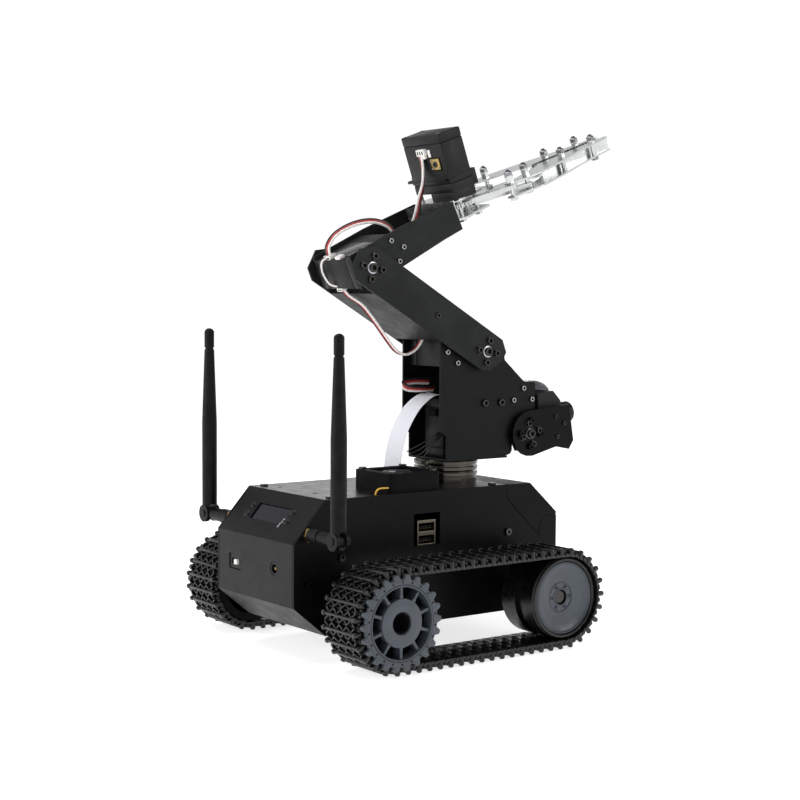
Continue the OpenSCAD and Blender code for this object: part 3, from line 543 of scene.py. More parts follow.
def add_link(shape):
    """One link: plate, hinge knuckles, cross bar with round ends, crossing ribs and guide lug."""
    across = axes((0, 0, 0), (1, 0, 0), (0, -1, 0))
    plate = [(-3.4, -1.5), (3.4, -1.5), (3.5, 0.1), (-3.5, 0.1)]
    shape.prism(plate, -TRACK_OUT + 0.6, -TRACK_IN - 0.6, TREAD, 0.25, across)
    bar = [(-1.5, 0), (1.5, 0), (0.9, CLEAT_H - 0.9), (0.5, CLEAT_H - 0.5), (-0.5, CLEAT_H - 0.5),
           (-0.9, CLEAT_H - 0.9)]
    shape.prism(bar, -TRACK_OUT + 2, -TRACK_IN - 2, TREAD, 0.25, across)
    for y in (TRACK_IN + 1.6, TRACK_OUT - 1.6):
        shape.lathe([(0, -1.2), (1.7, -1.2), (1.75, CLEAT_H - 1), (1.25, CLEAT_H - 0.2), (0, CLEAT_H)],
                    TREAD, Matrix.Translation((0, y, 0)), 12)
    step = (TRACK_OUT - TRACK_IN - 5) / RIBS
    for i in range(RIBS):
        y = TRACK_IN + 2.5 + (i + 0.5) * step
        for way in (-1, 1):
            lean = Matrix.Rotation(math.radians(way * (50 if i % 2 else -50)), 4, "Z")
            place = Matrix.Translation((way * 2.2, y, 0)) @ lean
            shape.box((-2.7, -0.55, 0), (2.7, 0.55, CLEAT_H - 1.6), TREAD, 0.25, place, 1)
    pitch = (TRACK_OUT - TRACK_IN) / (2 * KNUCKLES)
    for i in range(2 * KNUCKLES):
        x = 4 if i % 2 else -4
        y = TRACK_IN + i * pitch
        shape.rod((x, y + 0.25, -0.35), (x, y + pitch - 0.25, -0.35), 1.25, TREAD, 10, 0.2)
    lug = [(-1.6, -1.4), (1.6, -1.4), (1, -4.5), (-1, -4.5)]
    shape.prism(lug, -TRACK_MID - 2, -TRACK_MID + 2, TREAD, 0.35, across)


def make_tracks():
    """Both loops of links, each one piece."""
    link = Shape()
    add_link(link)
    mould = bpy.data.meshes.new("link")
    link.mesh.to_mesh(mould)
    link.mesh.free()
    for side, sign in SIDES:
        loop = Shape()
        for i in range(LINKS):
            part = bmesh.new()
            part.from_mesh(mould)
            part.transform(track_place(i * LINK_PITCH))
            loop.add(part, TREAD, Matrix.Scale(sign, 4, (0, 1, 0)))
        loop.done("links_" + side, "chassis", "track_rubber", ["track_" + side])
    bpy.data.meshes.remove(mould)


# ---------- wheels ----------

SPROCKET_FACE = TRACK_OUT + 3.5
DRUM_R = 26
SPOKES = 10
TOOTH_ROOT = 25.9
TOOTH_TIP = 28.9


def drum(shape, material, hollow, out_to):
    """Wheel drum with the groove that the guide lugs run in."""
    groove = [(hollow, TRACK_IN + 1), (DRUM_R - 0.5, TRACK_IN + 1), (DRUM_R, TRACK_IN + 1.5),
              (DRUM_R, TRACK_MID - 3), (23.4, TRACK_MID - 3), (23.4, TRACK_MID + 3),
              (DRUM_R, TRACK_MID + 3), (DRUM_R, out_to - 0.6), (DRUM_R - 0.6, out_to),
              (hollow, out_to)]
    shape.lathe(groove, material, None, 66, closed=True)


def make_drive_wheel(side, sign):
    """Drive wheel: drum, toothed face with dark discs of painted shade for dimples round it, ten deep spokes
    and a stepped hub.
    """
    place = axes((-WHEELBASE / 2, 0, AXLE_Z), (1, 0, 0), (0, sign, 0))
    wheel = Shape(place)
    drum(wheel, DULL_PLASTIC_AND_SHADE, 21, TRACK_OUT - 4)
    face = SPROCKET_FACE
    step = 360 / TEETH
    for i in range(TEETH):
        tooth = [(r * math.cos(math.radians((i + q) * step)), r * math.sin(math.radians((i + q) * step)))
                 for q, r in ((-0.34, TOOTH_ROOT - 1), (-0.34, TOOTH_ROOT), (-0.17, TOOTH_TIP - 0.4),
                              (-0.08, TOOTH_TIP), (0.08, TOOTH_TIP), (0.17, TOOTH_TIP - 0.4),
                              (0.34, TOOTH_ROOT), (0.34, TOOTH_ROOT - 1))]
        wheel.prism(tooth, face - 3, face - 0.25, WHEEL, 0.3)
        spot = math.radians((i + 0.5) * step)
        # Dark discs between the teeth: painted shade of small dimples in the face.
        dimple = [(0, face - 0.5), (0.62, face - 0.5), (0.62, face - 0.02), (0, face - 0.02)]
        wheel.lathe(dimple, DULL_PLASTIC_AND_SHADE,
                    Matrix.Translation((24.3 * math.cos(spot), 24.3 * math.sin(spot), 0)), 10)
    rim = [(21.2, face - 0.6), (21.6, face), (22.4, face), (22.7, face - 0.5), (23, face - 0.12),
           (25.3, face - 0.12), (25.5, face - 0.5), (25.9, face - 0.5), (26.1, face - 0.9), (26.1, face - 3),
           (21.6, face - 3), (21.2, face - 7.2)]
    wheel.lathe(rim, WHEEL, None, 88, closed=True)
    hub = [(6.6, face - 1), (7, face - 0.45), (7.6, face - 0.3), (13.6, face - 0.3), (14.4, face - 0.6),
           (14.8, face - 1.4), (14.2, face - 6), (10.5, face - 20), (10, TRACK_IN + 2), (6.35, TRACK_IN + 2),
           (6.35, face - 2)]
    wheel.lathe(hub, WHEEL, None, 60, closed=True)
    # Dark ring across the floor of the spoke pockets: painted shade in the deep pockets.
    wheel.lathe([(13, face - 10), (21.6, face - 10), (21.6, face - 9.4), (13, face - 9.4)],
                DULL_PLASTIC_AND_SHADE, None, 60, closed=True)
    for i in range(SPOKES):
        turn = Matrix.Rotation(math.radians(360 / SPOKES * (i + 0.5)), 4, "Z")
        spoke = [(13.8, -1.5), (17, -0.85), (21.5, -1), (21.5, 1), (17, 0.85), (13.8, 1.5)]
        wheel.prism(spoke, face - 9.4, face - 1.2, WHEEL, 0.3, turn)
    # Ridged rings lining the bore: the ridges are shape, their dark colour is painted shade in the bore.
    for i in range(7):
        top = face - 1.6 - i * 0.9
        wheel.lathe([(5.9, top), (6.5, top + 0.35), (6.5, top - 0.35)], DULL_PLASTIC_AND_SHADE, None, 40, closed=True)
    wheel.done("drive_wheel_" + side, "drive_wheel_" + side, "wheel_plastic", ["sprocket_" + side])
    shaft = Shape(place)
    shaft.rod((0, 0, 28), (0, 0, 80), 2.98, MOTOR)
    shaft.lathe([(0, 53), (5.9, 53), (5.9, 92), (5.2, 93), (2.6, 93), (2.2, 90), (0, 90)],
                OXIDE, None, 24, six=(1, 2, 3))
    # Dark sleeve lining the wheel's bore: painted shade of the deep bore.
    shaft.lathe([(6, 93.2), (6.3, 93.2), (6.3, SPROCKET_FACE - 3), (6, SPROCKET_FACE - 3)],
                DULL_PLASTIC_AND_SHADE, None, 40, closed=True)
    shaft.done("drive_hub_" + side, "drive_wheel_" + side, "motor_steel", ["drive_shaft_" + side])


def make_front_wheel(side, sign):
    """Front wheel: dished disc with a bolted hub, in a stepped black rim."""
    place = axes((WHEELBASE / 2, 0, AXLE_Z), (1, 0, 0), (0, sign, 0))
    disc = Shape(place)
    profile = [(4.7, TRACK_IN + 1), (9, TRACK_IN + 1), (9, 88), (23, 88), (23, 95.5), (22.7, 96.2),
               (22.2, 96.3), (21.8, 95.7), (21.2, 95.2), (16.3, 93.7), (10, 93), (9.6, 93.4), (9.1, 93.4),
               (8.8, 92.8), (5.9, 92.8), (5.6, 93.3), (5, 93.3), (4.7, 92.8)]
    disc.lathe(profile, WHEEL, None, 72, closed=True)
    for i in range(6):
        turn = Matrix.Rotation(math.radians(60 * i), 4, "Z") @ Matrix.Translation((7.3, 0, 0))
        disc.lathe([(0.7, 92.7), (0.7, 93.3), (1.2, 93.3), (1.35, 92.7)], WHEEL, turn, 14, closed=True)
        # Dark disc at the bottom of each boss's hole: painted shade in the hole.
        disc.lathe([(0, 92.7), (0.7, 92.7), (0.7, 92.95), (0, 92.95)], DULL_PLASTIC_AND_SHADE, turn, 14)
    # Dark lining of the centre bore: painted shade in the bore.
    disc.lathe([(4.4, 80), (4.7, 80), (4.7, 92.8), (4.4, 92.8)], DULL_PLASTIC_AND_SHADE, None, 40, closed=True)
    disc.done("front_disc_" + side, "front_wheel_" + side, "wheel_plastic", ["idler_" + side])
    rim = Shape(place)
    drum(rim, TREAD, 23.1, 95.6)
    lip = [(23.1, 94.5), (25.4, 94.5), (25.4, 96.4), (25, 96.9), (23.8, 97.1), (23.4, 96.8), (23.1, 95.9)]
    rim.lathe(lip, TREAD, None, 72, closed=True)
    rim.done("front_rim_" + side, "front_wheel_" + side, "track_rubber", ["idler_rim_" + side])


def make_wheels():
    """All four wheels."""
    for side, sign in SIDES:
        make_drive_wheel(side, sign)
        make_front_wheel(side, sign)


# ---------- servos ----------


def servo_case(shape, height=SERVO_H, back=SHAFT_BACK, front=SERVO_L, half=SERVO_W):
    """Servo along local Z: bottom cap, case and gear cap with long screws at the corners."""
    cap_low, cap_high = 6.1, height - 6.1
    for low, high in ((0, cap_low), (cap_low + 0.15, cap_high - 0.15), (cap_high, height)):
        shape.box((-back, -half, low), (front, half, high), PLASTIC, 0.7)
    inset = 0.5
    shape.box((-back + inset, -half + inset, 1), (front - inset, half - inset, height - 1), DULL_PLASTIC_AND_SHADE)
    head = [(0, 0.1), (1.6, 0.1), (1.6, -0.15), (1.2, -0.3), (0.4, -0.3), (0.3, -0.05), (0, -0.05)]
    for x in (-back + 2.4, front - 2.4):
        for y in (-half + 2.4, half - 2.4):
            shape.lathe(head, OXIDE, Matrix.Translation((x, y, 0.1)), 14)
            shape.rod((x, y, height - 0.3), (x, y, height + 0.12), 1.5, OXIDE, 14, 0.1)


def plug(shape, low, high, pins_to):
    """White socket in a servo's wall with painted shade in its opening; pins_to is the outward axis number.
    """
    shape.box(low, high, NYLON, 0.35)
    low, high = Vector(low), Vector(high)
    # Dark box set into the outward face: painted shade of the socket's opening.
    inner_low, inner_high = low + Vector((0.8, 0.8, 0.8)), high - Vector((0.8, 0.8, 0.8))
    axis, out = pins_to
    if out > 0:
        inner_high[axis] = high[axis] + 0.05
        inner_low[axis] = high[axis] - 0.4
    else:
        inner_low[axis] = low[axis] - 0.05
        inner_high[axis] = low[axis] + 0.4
    shape.box(inner_low, inner_high, DULL_PLASTIC_AND_SHADE)


def make_servos():
    """Detailed servos in place of their plain blocks."""
    pan = Shape(Matrix.Translation((joint_at("pan").x, 0, 116)))
    servo_case(pan)
    pan.rod((0, 0, -14.2), (0, 0, 0.2), 2.98, MOTOR)
    pan.box((-11.4, -4, 27), (-9.6, 4, 32), DULL_PLASTIC_AND_SHADE, 0.35)
    pan.done("pan_servo_case", "turret", "black_plastic", ["pan_servo"])

    shoulder = Shape(axes(SHOULDER - Vector((0, 19.5, 0)), (-1, 0, 0), (0, 1, 0)))
    servo_case(shoulder)
    shoulder.done("shoulder_servo_case", "turret", "black_plastic", ["shoulder_servo"])

    elbow = Shape(FORE @ axes((0, -19.5, 0), (1, 0, 0), (0, 1, 0)))
    servo_case(elbow)
    elbow.place = FORE
    plug(elbow, (-9.4, 2.5, 9.6), (-3.5, 9.5, 12.4), (0, -1))
    elbow.box((-9.2, -8, 9.6), (-4.5, -2.5, 11.8), WIRE_WHITE, 0.4)
    plug(elbow, (-10.6, 1, -11.8), (-6, 7, -9.6), (0, -1))
    elbow.box((-4, -12, 9.9), (16, 12, 10.5), NUT, 0.2)
    elbow.done("elbow_servo_case", "forearm", "black_plastic", ["elbow_servo"])

    grip = Shape(GRIP @ axes((0, -GEAR_R, 51.5), (0, 1, 0), (0, 0, -1)))
    servo_case(grip, 39.5, 10, 30, 9.5)
    grip.place = GRIP
    grip.box((-9.5, -20.4, 20), (9.5, 26, 22), PLASTIC, 0.5)
    for x in (-4.8, 4.8):
        grip.nut((x, 23.2, 22), (x, 23.2, 24), 2.2, OXIDE)
        grip.rod((x, 23.2, 18.6), (x, 23.2, 20), 2.3, OXIDE)
    grip.box((-9.6, -19.9, 6.2), (9.3, 4, 12.4), PLASTIC, 0.4)
    for i in range(4):
        wide = 9 - i * 1.2
        boss = [(3.4, 7.2), (wide, 7.2 + i), (wide, 8 + i), (wide - 0.4, 12.3), (3.4, 12.3)]
        grip.lathe(boss, PLASTIC, Matrix.Translation((0, -GEAR_R, 0)), 40, closed=True)
    for i in range(5):
        y = -19 + i * 5.4
        grip.box((9.3, y, 12), (13.9, y + 4.6, 22.6 - (i % 2) * 2.2), PLASTIC, 0.5)
    grip.box((-12.2, -4, 38.6), (-9, 4.4, 43), NYLON, 0.4)
    grip.box((-11.6, -3, 36.4), (-9, 3.4, 38.8), NYLON, 0.4)
    # Three dark strips on the plug's face: painted shade of three openings in it.
    for y in (-2.2, 0.2, 2.6):
        grip.box((-12.35, y - 0.5, 39.6), (-12, y + 0.5, 42), DULL_PLASTIC_AND_SHADE, 0.1)
    grip.box((-9.75, -15.5, 27.5), (-9.4, -4.5, 36.5), DULL_PLASTIC_AND_SHADE, 0.1)
    grip.box((-10.1, -14.5, 28.3), (-9.6, -5.5, 35.7), BRASS, 0.15)
    grip.rod((-10.1, -10, 32), (-10.7, -10, 32), 2.1, OXIDE)
    grip.rod((-10.7, -10, 32), (-10.9, -10, 32), 1.1, DULL_PLASTIC_AND_SHADE)
    for z in (29.4, 34.6):
        grip.rod((-10.1, -13.4, z), (-10.5, -13.4, z), 0.5, ZINC, 10)
        grip.rod((-10.1, -6.6, z), (-10.5, -6.6, z), 0.5, ZINC, 10)
    grip.box((-10.4, -7.5, 37), (-9.4, -5.4, 42), NYLON, 0.2)
    grip.done("gripper_servo_case", "forearm", "black_plastic", ["gripper_servo"])

    tilt = Shape(Matrix.Translation(joint_at("camera_tilt")))
    tilt.box((-6.5, -14, -6.5), (5.8, 5, 24), PLASTIC, 0.6)
    tilt.box((-6.5, 5.3, -6.5), (5.8, 14, 24), PLASTIC, 0.6)
    tilt.box((-6, -13, -6), (5.3, 13, 23.5), DULL_PLASTIC_AND_SHADE)
    tilt.done("tilt_servo_case", "turret", "black_plastic", ["tilt_servo"])


# ---------- leads ----------

COLUMN_LEAD = [(40, 13, 165.5), (28, 13, 166), (20, 12, 165.4), (17, 10, 163.6), (20, 8, 161.6),
               (28, 7, 161), (40, 7, 161)]
RIBBON = [(34.5, 0, 158), (27, 1, 156), (18, 3, 148), (11, 6, 134), (8, 8, 120), (7, 9, 108), (7, 10, 97)]
FLEX = [(103, -2, 163.5), (108, -3, 165), (114, -4, 164.8), (120, -4, 162.8), (123.8, -4, 160),
        (125.4, -4, 157.6)]
ARM_LEAD = [(-36, 4, 226.4), (-33, 2, 222.5), (-24, 0, 216.5), (-14, 0, 206), (-2, 0, 192),
            (4, 0, 186.5), (11, 0, 184.6), (19, 0, 188), (24, 0, 194), (28, 0, 199), (34, 0, 201),
            (42, 0, 198.4)]
ARM_LEAD_MIDDLE = 4
ELBOW_LEAD = [(-45.4, 6, 247.6), (-46.5, 6, 254), (-41, 5, 262), (-28, 4, 268.6), (-14, 3, 271),
              (-3, 2, 268.5), (4, 1, 262)]
GRIPPER_LEAD = [(23, 2, 316.6), (25, 2, 309.4), (26, 2, 302), (25, 1, 295), (22, 0, 287), (19, -1, 277),
                (16, -1, 268)]
BACK_LOOP = [(-8, 5, 12), (-12.2, 8, 10.2), (-13.4, 10, 5), (-13, 10.5, -1), (-12, 9, -6), (-9.4, 6, -8.4)]
FAN_LEAD = [(-30.65, -38, 103), (-33.5, -38, 103), (-37.6, -38, 102.6), (-39.6, -38, 100.4), (-40, -38, 96)]
WIRE_R = 0.85
LOOP_WIRE_R = 0.7
FAN_WIRE_R = 0.55
THIN_WIRE_R = 0.42
FILM_W = 16
FILM_HALF = 0.14
SERVO_WIRES = (WIRE_WHITE, WIRE_RED, WIRE_DARK)
FAN_WIRES = (WIRE_YELLOW, WIRE_RED, WIRE_DARK)


def add_bundle(shape, points, wires, side, twist=0.0, radius=WIRE_R):
    """Three wires side by side along a route, turning slowly about each other."""
    frames = ring_frames(points, Vector(side))
    for number, material in enumerate(wires):
        shift = (number - 1) * radius * 1.75
        route = []
        for i, (point, w, n) in enumerate(frames):
            angle = twist * i / len(frames) * 2 * math.pi
            route.append(point + shift * (math.cos(angle) * w + math.sin(angle) * n))
        shape.tube(route, radius, material, 8)


def make_leads():
    """Servo and fan leads; the arm's lead is made in two free pieces, split partway along its route."""
    column = Shape()
    add_bundle(column, spline(COLUMN_LEAD), SERVO_WIRES, (0, 0, 1), 0.1)
    for drop in (0, 3, 6, 9):
        thin = spline([(32, -14, 136 - drop * 0.4), (26, -16, 133.4 - drop * 0.5),
                       (19, -15.5, 129.6 - drop * 0.8), (12 + drop * 0.4, -13, 125.4 - drop * 0.9),
                       (5 + drop * 0.9, -10, 121.6 - drop * 0.5)])
        column.tube(thin, THIN_WIRE_R, WIRE_BLACK, 6)
    column.done("column_wires", "turret", "lead_wire", ["column_lead"])

    points = spline(ARM_LEAD)
    cut = ARM_LEAD_MIDDLE * 8
    upper, lower = Shape(), Shape()
    add_bundle(upper, points[:cut + 1], SERVO_WIRES, (0, 1, 0))
    add_bundle(lower, points[cut:], SERVO_WIRES, (0, 1, 0))
    upper = upper.done("arm_wires_elbow", None, "lead_wire", ["arm_lead"], free=True)
    lower = lower.done("arm_wires_shoulder", None, "lead_wire", free=True)
    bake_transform(upper)
    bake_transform(lower)

    fore = Shape()
    add_bundle(fore, spline(ELBOW_LEAD), SERVO_WIRES, (0, 1, 0), 0.2)
    add_bundle(fore, spline(GRIPPER_LEAD), SERVO_WIRES, (0, 1, 0), 0.3)
    loop = [FORE @ Vector(p) for p in BACK_LOOP]
    for number, material in enumerate((WIRE_WHITE, WIRE_DARK)):
        fore.tube([p + Vector((0, 1.6 * number, 0)) for p in spline(loop)], LOOP_WIRE_R, material)
    fore.done("forearm_wires", "forearm", "lead_wire", ["forearm_lead"])

    fan = Shape()
    add_bundle(fan, spline(FAN_LEAD), FAN_WIRES, (0, 1, 0), 0.15, FAN_WIRE_R)
    fan.done("fan_wires", "chassis", "lead_wire", ["fan_lead"])


def make_film(route):
    """Flat cable with a value that runs from 0 to 1 across it, for its conductors."""
    columns = 9
    part = bmesh.new()
    layer = part.verts.layers.float.new("across")
    rings = []
    for point, w, n in ring_frames(spline(route), Vector((-0.1, 1, 0))):
        ring = []
        for face in (1, -1):
            for i in range(columns):
                share = i / (columns - 1) if face > 0 else 1 - i / (columns - 1)
                vert = part.verts.new(point + (share - 0.5) * FILM_W * w + face * FILM_HALF * n)
                vert[layer] = share
                ring.append(vert)
        rings.append(ring)
    for a, b in zip(rings, rings[1:]):
        for i in range(len(a)):
            j = (i + 1) % len(a)
            part.faces.new((a[i], a[j], b[j], b[i]))
    part.faces.new(rings[0])
    part.faces.new(rings[-1])
    shape = Shape()
    shape.add(part, FILM)
    return shape


def make_ribbons():
    """Flat cables of the camera: down to the chassis, and over the top of the camera."""
    down = make_film(RIBBON).done("ribbon_down", None, "ribbon_film", ["ribbon_cable"], free=True)
    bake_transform(down)
    over = make_film(FLEX).done("ribbon_camera", None, "ribbon_film", free=True)
    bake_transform(over)


# ---------- gripper and arm hardware ----------

CRANK_LEN = 38
CRANK_ANGLE = 22
CRANK = Vector((CRANK_LEN * math.cos(math.radians(CRANK_ANGLE)),
                GEAR_R + CRANK_LEN * math.sin(math.radians(CRANK_ANGLE)), 0))
FOLLOWER_PIN = Vector((17, GEAR_R - 3.2, 0))
FOLLOWER_END = FOLLOWER_PIN + CRANK - Vector((0, GEAR_R, 0))
STUDS = (98, 128)
PLATE_OUT = 21.1
ARM_OUT = 25.5
CAMERA_OUT = 25.1


def stud(shape, x, y, low, high):
    """Threaded pin with a locknut and washer where it leaves the plates."""
    shape.thread((x, y, low), (x, y, high), 1.5, NUT, 0.55)
    shape.rod((x, y, high - 4.6), (x, y, high - 4.2), 3.1, ALLOY, 24, 0.1)
    shape.nut((x, y, high - 4.2), (x, y, high - 1.2), 2.9, NUT)


def make_gripper_hardware():
    """Pins, nuts and spacers of the gripper, each on the body that carries it."""
    for side, sign in SIDES:
        crank = Shape(GRIP)
        if sign > 0:
            stud(crank, 0, sign * GEAR_R, 5, 13.8)
        for i in range(12):
            share = 0.18 + 0.055 * i
            at = Vector((0, GEAR_R, 0)).lerp(CRANK, share)
            lean = Matrix.Rotation(math.radians(sign * CRANK_ANGLE), 4, "Z")
            turn = Matrix.Translation((at.x, sign * at.y, 0)) @ lean
            crank.box((-0.35, -3.4, 3.3), (0.35, 3.4, 3.75), ALLOY, 0.1, turn, 1)
        crank.done("crank_trim_" + side, "crank_" + side, "bare_aluminium")
        follower = Shape(GRIP)
        stud(follower, FOLLOWER_PIN.x, sign * FOLLOWER_PIN.y, 5, 16.2)
        follower.done("follower_pin_" + side, "follower_" + side, "bare_aluminium")
        finger = Shape(GRIP)
        stud(finger, CRANK.x, sign * CRANK.y, 4, 13.6)
        stud(finger, FOLLOWER_END.x, sign * FOLLOWER_END.y, 4, 13.6)
        for x in STUDS:
            stud(finger, x, sign * 8.6, 3, 11.4)
            finger.socket_screw((x, sign * 8.6, -5), (x, sign * 8.6, -7), 2.6, NUT)
        finger.done("finger_pins_" + side, "finger_" + side, "bare_aluminium")


def pivot(shape, at, y, sign, turn, washer):
    """Ring of four cap screws round a bright centre washer and screw, on an outer face at y."""
    place = Matrix.Translation((at[0], 0, at[1]))
    for i in range(4):
        angle = math.radians(turn + 90 * i)
        x, z = 7.3 * math.cos(angle), 7.3 * math.sin(angle)
        a = place @ Vector((x, sign * y, z))
        shape.rod(a, a + Vector((0, sign * 0.35, 0)), 2.75, OXIDE)
        shape.socket_screw(a, a + Vector((0, sign * 2.1, 0)), 2.3, OXIDE)
    a = place @ Vector((0, sign * y, 0))
    shape.lathe([(0, 0), (3.9, 0), (3.9, 0.5), (3.5, 0.7), (0, 0.7)], washer,
                along(a, a + Vector((0, sign, 0))), 32)
    shape.socket_screw(a + Vector((0, sign * 0.6, 0)), a + Vector((0, sign * 2.4, 0)), 3, OXIDE)


def make_arm_hardware():
    """Screws of the arm's pivots and plates."""
    upper = Shape(UPPER)
    for side, sign in SIDES:
        pivot(upper, (0, 0), ARM_OUT, sign, 20, ZINC)
        pivot(upper, (108, 0), ARM_OUT, sign, 20, ZINC)
        upper.socket_screw((48, sign * ARM_OUT, 0), (48, sign * 26.6, 0), 1.9, OXIDE)
    upper.done("upper_arm_hardware", "upper_arm", "dark_screws", ["upper_arm_screws"])
    fore = Shape(FORE)
    for side, sign in SIDES:
        for x, z in ((23, 8), (30.3, 0.3), (23.5, -6.6)):
            fore.socket_screw((x, sign * PLATE_OUT, z), (x, sign * 22.4, z), 1.75, ZINC)
    fore.done("forearm_hardware", "forearm", "bright_screws", ["forearm_screws"])
    column = Shape()
    for side, sign in SIDES:
        for x, z in ((29.1, 186.4), (37.5, 179.1), (94.5, 160.9), (102, 153.2), (85.8, 153.1)):
            column.socket_screw((x, sign * PLATE_OUT, z), (x, sign * 22.6, z), 1.8, ZINC)
        for x in (61, 75):
            column.socket_screw((x, sign * PLATE_OUT, 152), (x, sign * 22.9, 152), 2.5, OXIDE)
    column.done("column_hardware", "turret", "bright_screws", ["column_screws"])
    cam = Shape(CAM)
    for side, sign in SIDES:
        pivot(cam, (0, 0), CAMERA_OUT, sign, 8, OXIDE)
        for x, z in ((24, 8), (31, 2), (24, -6)):
            cam.socket_screw((x, sign * CAMERA_OUT, z), (x, sign * 26.2, z), 1.5, OXIDE)
    cam.done("camera_hardware", "camera_head", "dark_screws")


# ---------- fan ----------

FAN_H = 12
FAN_HALF = 20
FAN_BASE_Z = 99.8
BLADES = 9


def make_fan():
    """Cooling fan: solid body with a round duct and struts, curved blades and a rounded hub."""
    centre = Matrix.Translation((FAN_AT.x, FAN_AT.y, FAN_BASE_Z))
    body = Shape(centre)
    corner = 3.2
    outline = []
    for i, (sx, sy) in enumerate(((1, 1), (-1, 1), (-1, -1), (1, -1))):
        bend = arc(corner, 90 * i, 90 * i + 90, 5)
        outline += [(sx * (FAN_HALF - corner) + x, sy * (FAN_HALF - corner) + y) for x, y in bend]
    add_holed_plate(body, outline, 18.95, 0, FAN_H, DULL_PLASTIC_AND_SHADE)
    body.lathe([(18.7, 0.4), (19.2, 0.4), (19.2, FAN_H + 0.1), (18.7, FAN_H + 0.1)], DULL_PLASTIC_AND_SHADE, None, 64,
               closed=True)
    for i in range(4):
        turn = Matrix.Rotation(math.radians(45 + 90 * i), 4, "Z")
        body.box((8, -1.3, 0.1), (19.2, 1.3, 1.6), PLASTIC, 0.3, turn)
    body.lathe([(0, 0.1), (10, 0.1), (10, 1.6), (0, 1.6)], PLASTIC, None, 48)
    body.done("fan_body", "chassis", "black_plastic", ["fan_frame"])
    rotor = Shape(centre)
    rotor.lathe([(0, 2.4), (10, 2.4), (10.4, 3), (10.4, 9.8), (9.9, 10.8), (9, 11.2), (0, 11.2)],
                PLASTIC, None, 56)
    rotor.lathe([(0, 11.1), (6.8, 11.1), (6.8, 11.35), (0, 11.35)], DULL_PLASTIC_AND_SHADE, None, 48)
    for i in range(BLADES):
        add_blade(rotor, Matrix.Rotation(2 * math.pi * i / BLADES, 4, "Z"))
    rotor.done("fan_blades", "fan", "black_plastic", ["fan_rotor"])


def add_holed_plate(shape, outline, hole, z0, z1, material):
    """Flat plate of this outline with a round hole, all its walls closed."""
    part = bmesh.new()
    count = len(outline)
    inner = [(hole * x / math.hypot(x, y), hole * y / math.hypot(x, y)) for x, y in outline]
    loops = [[part.verts.new((x, y, z)) for x, y in points]
             for points, z in ((outline, z0), (outline, z1), (inner, z1), (inner, z0))]
    for a, b in zip(loops, loops[1:] + loops[:1]):
        for i in range(count):
            j = (i + 1) % count
            part.faces.new((a[i], a[j], b[j], b[i]))
    shape.add(part, material)


def add_blade(shape, turn):
    """Curved, twisted fan blade from the hub to just inside the duct."""
    part = bmesh.new()
    grid = []
    for i in range(6):
        radius = 9.8 + 8.2 * i / 5
        sweep = 0.05 + 0.16 * i / 5
        row = []
        for j in range(7):
            share = j / 6
            angle = sweep + (share - 0.5) * 0.62
            height = 3.2 + 6.4 * share + 1.1 * math.sin(math.pi * share)
            row.append((radius * math.cos(angle), radius * math.sin(angle), height))
        grid.append(row)
    sheets = [[[part.verts.new((x, y, z + lift)) for x, y, z in row] for row in grid] for lift in (0, 0.7)]
    for sheet in sheets:
        for i in range(5):
            for j in range(6):
                part.faces.new((sheet[i][j], sheet[i + 1][j], sheet[i + 1][j + 1], sheet[i][j + 1]))
    low, high = sheets
    edge = [(i, 0) for i in range(6)] + [(5, j) for j in range(1, 7)]
    edge += [(i, 6) for i in range(4, -1, -1)] + [(0, j) for j in range(5, 0, -1)]
    for (a, b), (c, d) in zip(edge, edge[1:] + edge[:1]):
        part.faces.new((low[a][b], low[c][d], high[c][d], high[a][b]))
    shape.add(part, PLASTIC, turn)


# ---------- carried-over parts ----------

KEPT = {
    "chassis_tub": (PAINT, 0.5), "top_cover": (PAINT_TOP, 0.4), "rear_panel": (PAINT_REAR, 0.5),
    "front_cover": (PAINT, 0.5), "column": (PAINT_COLUMN, 0.3), "upper_arm": (PAINT_ARM, 0.3),
    "forearm": (PAINT_ARM, 0.3), "camera_bracket": (PAINT, 0.25), "oled_display": (GLASS, 0.15),
    "rear_connectors": (PLASTIC, 0.2), "usb_ports": (STEEL, 0.2), "main_board": (BOARD, 0.1),
    "heatsink": (ALLOY, 0.15), "battery_cells": (CELLS, 0.5), "battery_tray": (DULL_PLASTIC_AND_SHADE, 0.3),
    "gear_motors": (MOTOR, 0.4), "idler_axles": (OXIDE, 0.3), "antenna_sockets": (BRASS, 0.2),
    "slew_base": (RING, 0.3), "slew_top": (RING, 0.3), "chassis_screws": (OXIDE, 0.15),
    "switch_lever": (NYLON, 0.2), "upper_arm_horns": (PLASTIC, 0.25), "gripper_base": (ALLOY, 0.15),
    "camera": (PLASTIC, 0.5)}
for side, _ in SIDES:
    for name in ("antenna_elbow", "antenna"):
        KEPT[name + "_" + side] = (WHIP, 0.3)
    for name in ("crank", "follower", "finger"):
        KEPT[name + "_" + side] = (ALLOY, 0.15)


def finish_kept_parts():
    """Gives the carried-over parts their material and a small edge break."""
    for name, (material, radius) in KEPT.items():
        node = frame["nodes"][name]
        node.data.materials.clear()
        node.data.materials.append(material)
        weld = node.modifiers.new("weld", "WELD")
        weld.merge_threshold = 0.000002
        flat = node.modifiers.new("flat", "DECIMATE")
        flat.decimate_type = "DISSOLVE"
        flat.angle_limit = math.radians(0.8)
        edge = node.modifiers.new("edge", "BEVEL")
        edge.width = radius * MM
        edge.segments = 2
        edge.limit_method = "ANGLE"
        edge.angle_limit = math.radians(40)
        edge.use_clamp_overlap = True
        edge.harden_normals = False
        shade = node.modifiers.new("shade", "WEIGHTED_NORMAL")
        shade.keep_sharp = True


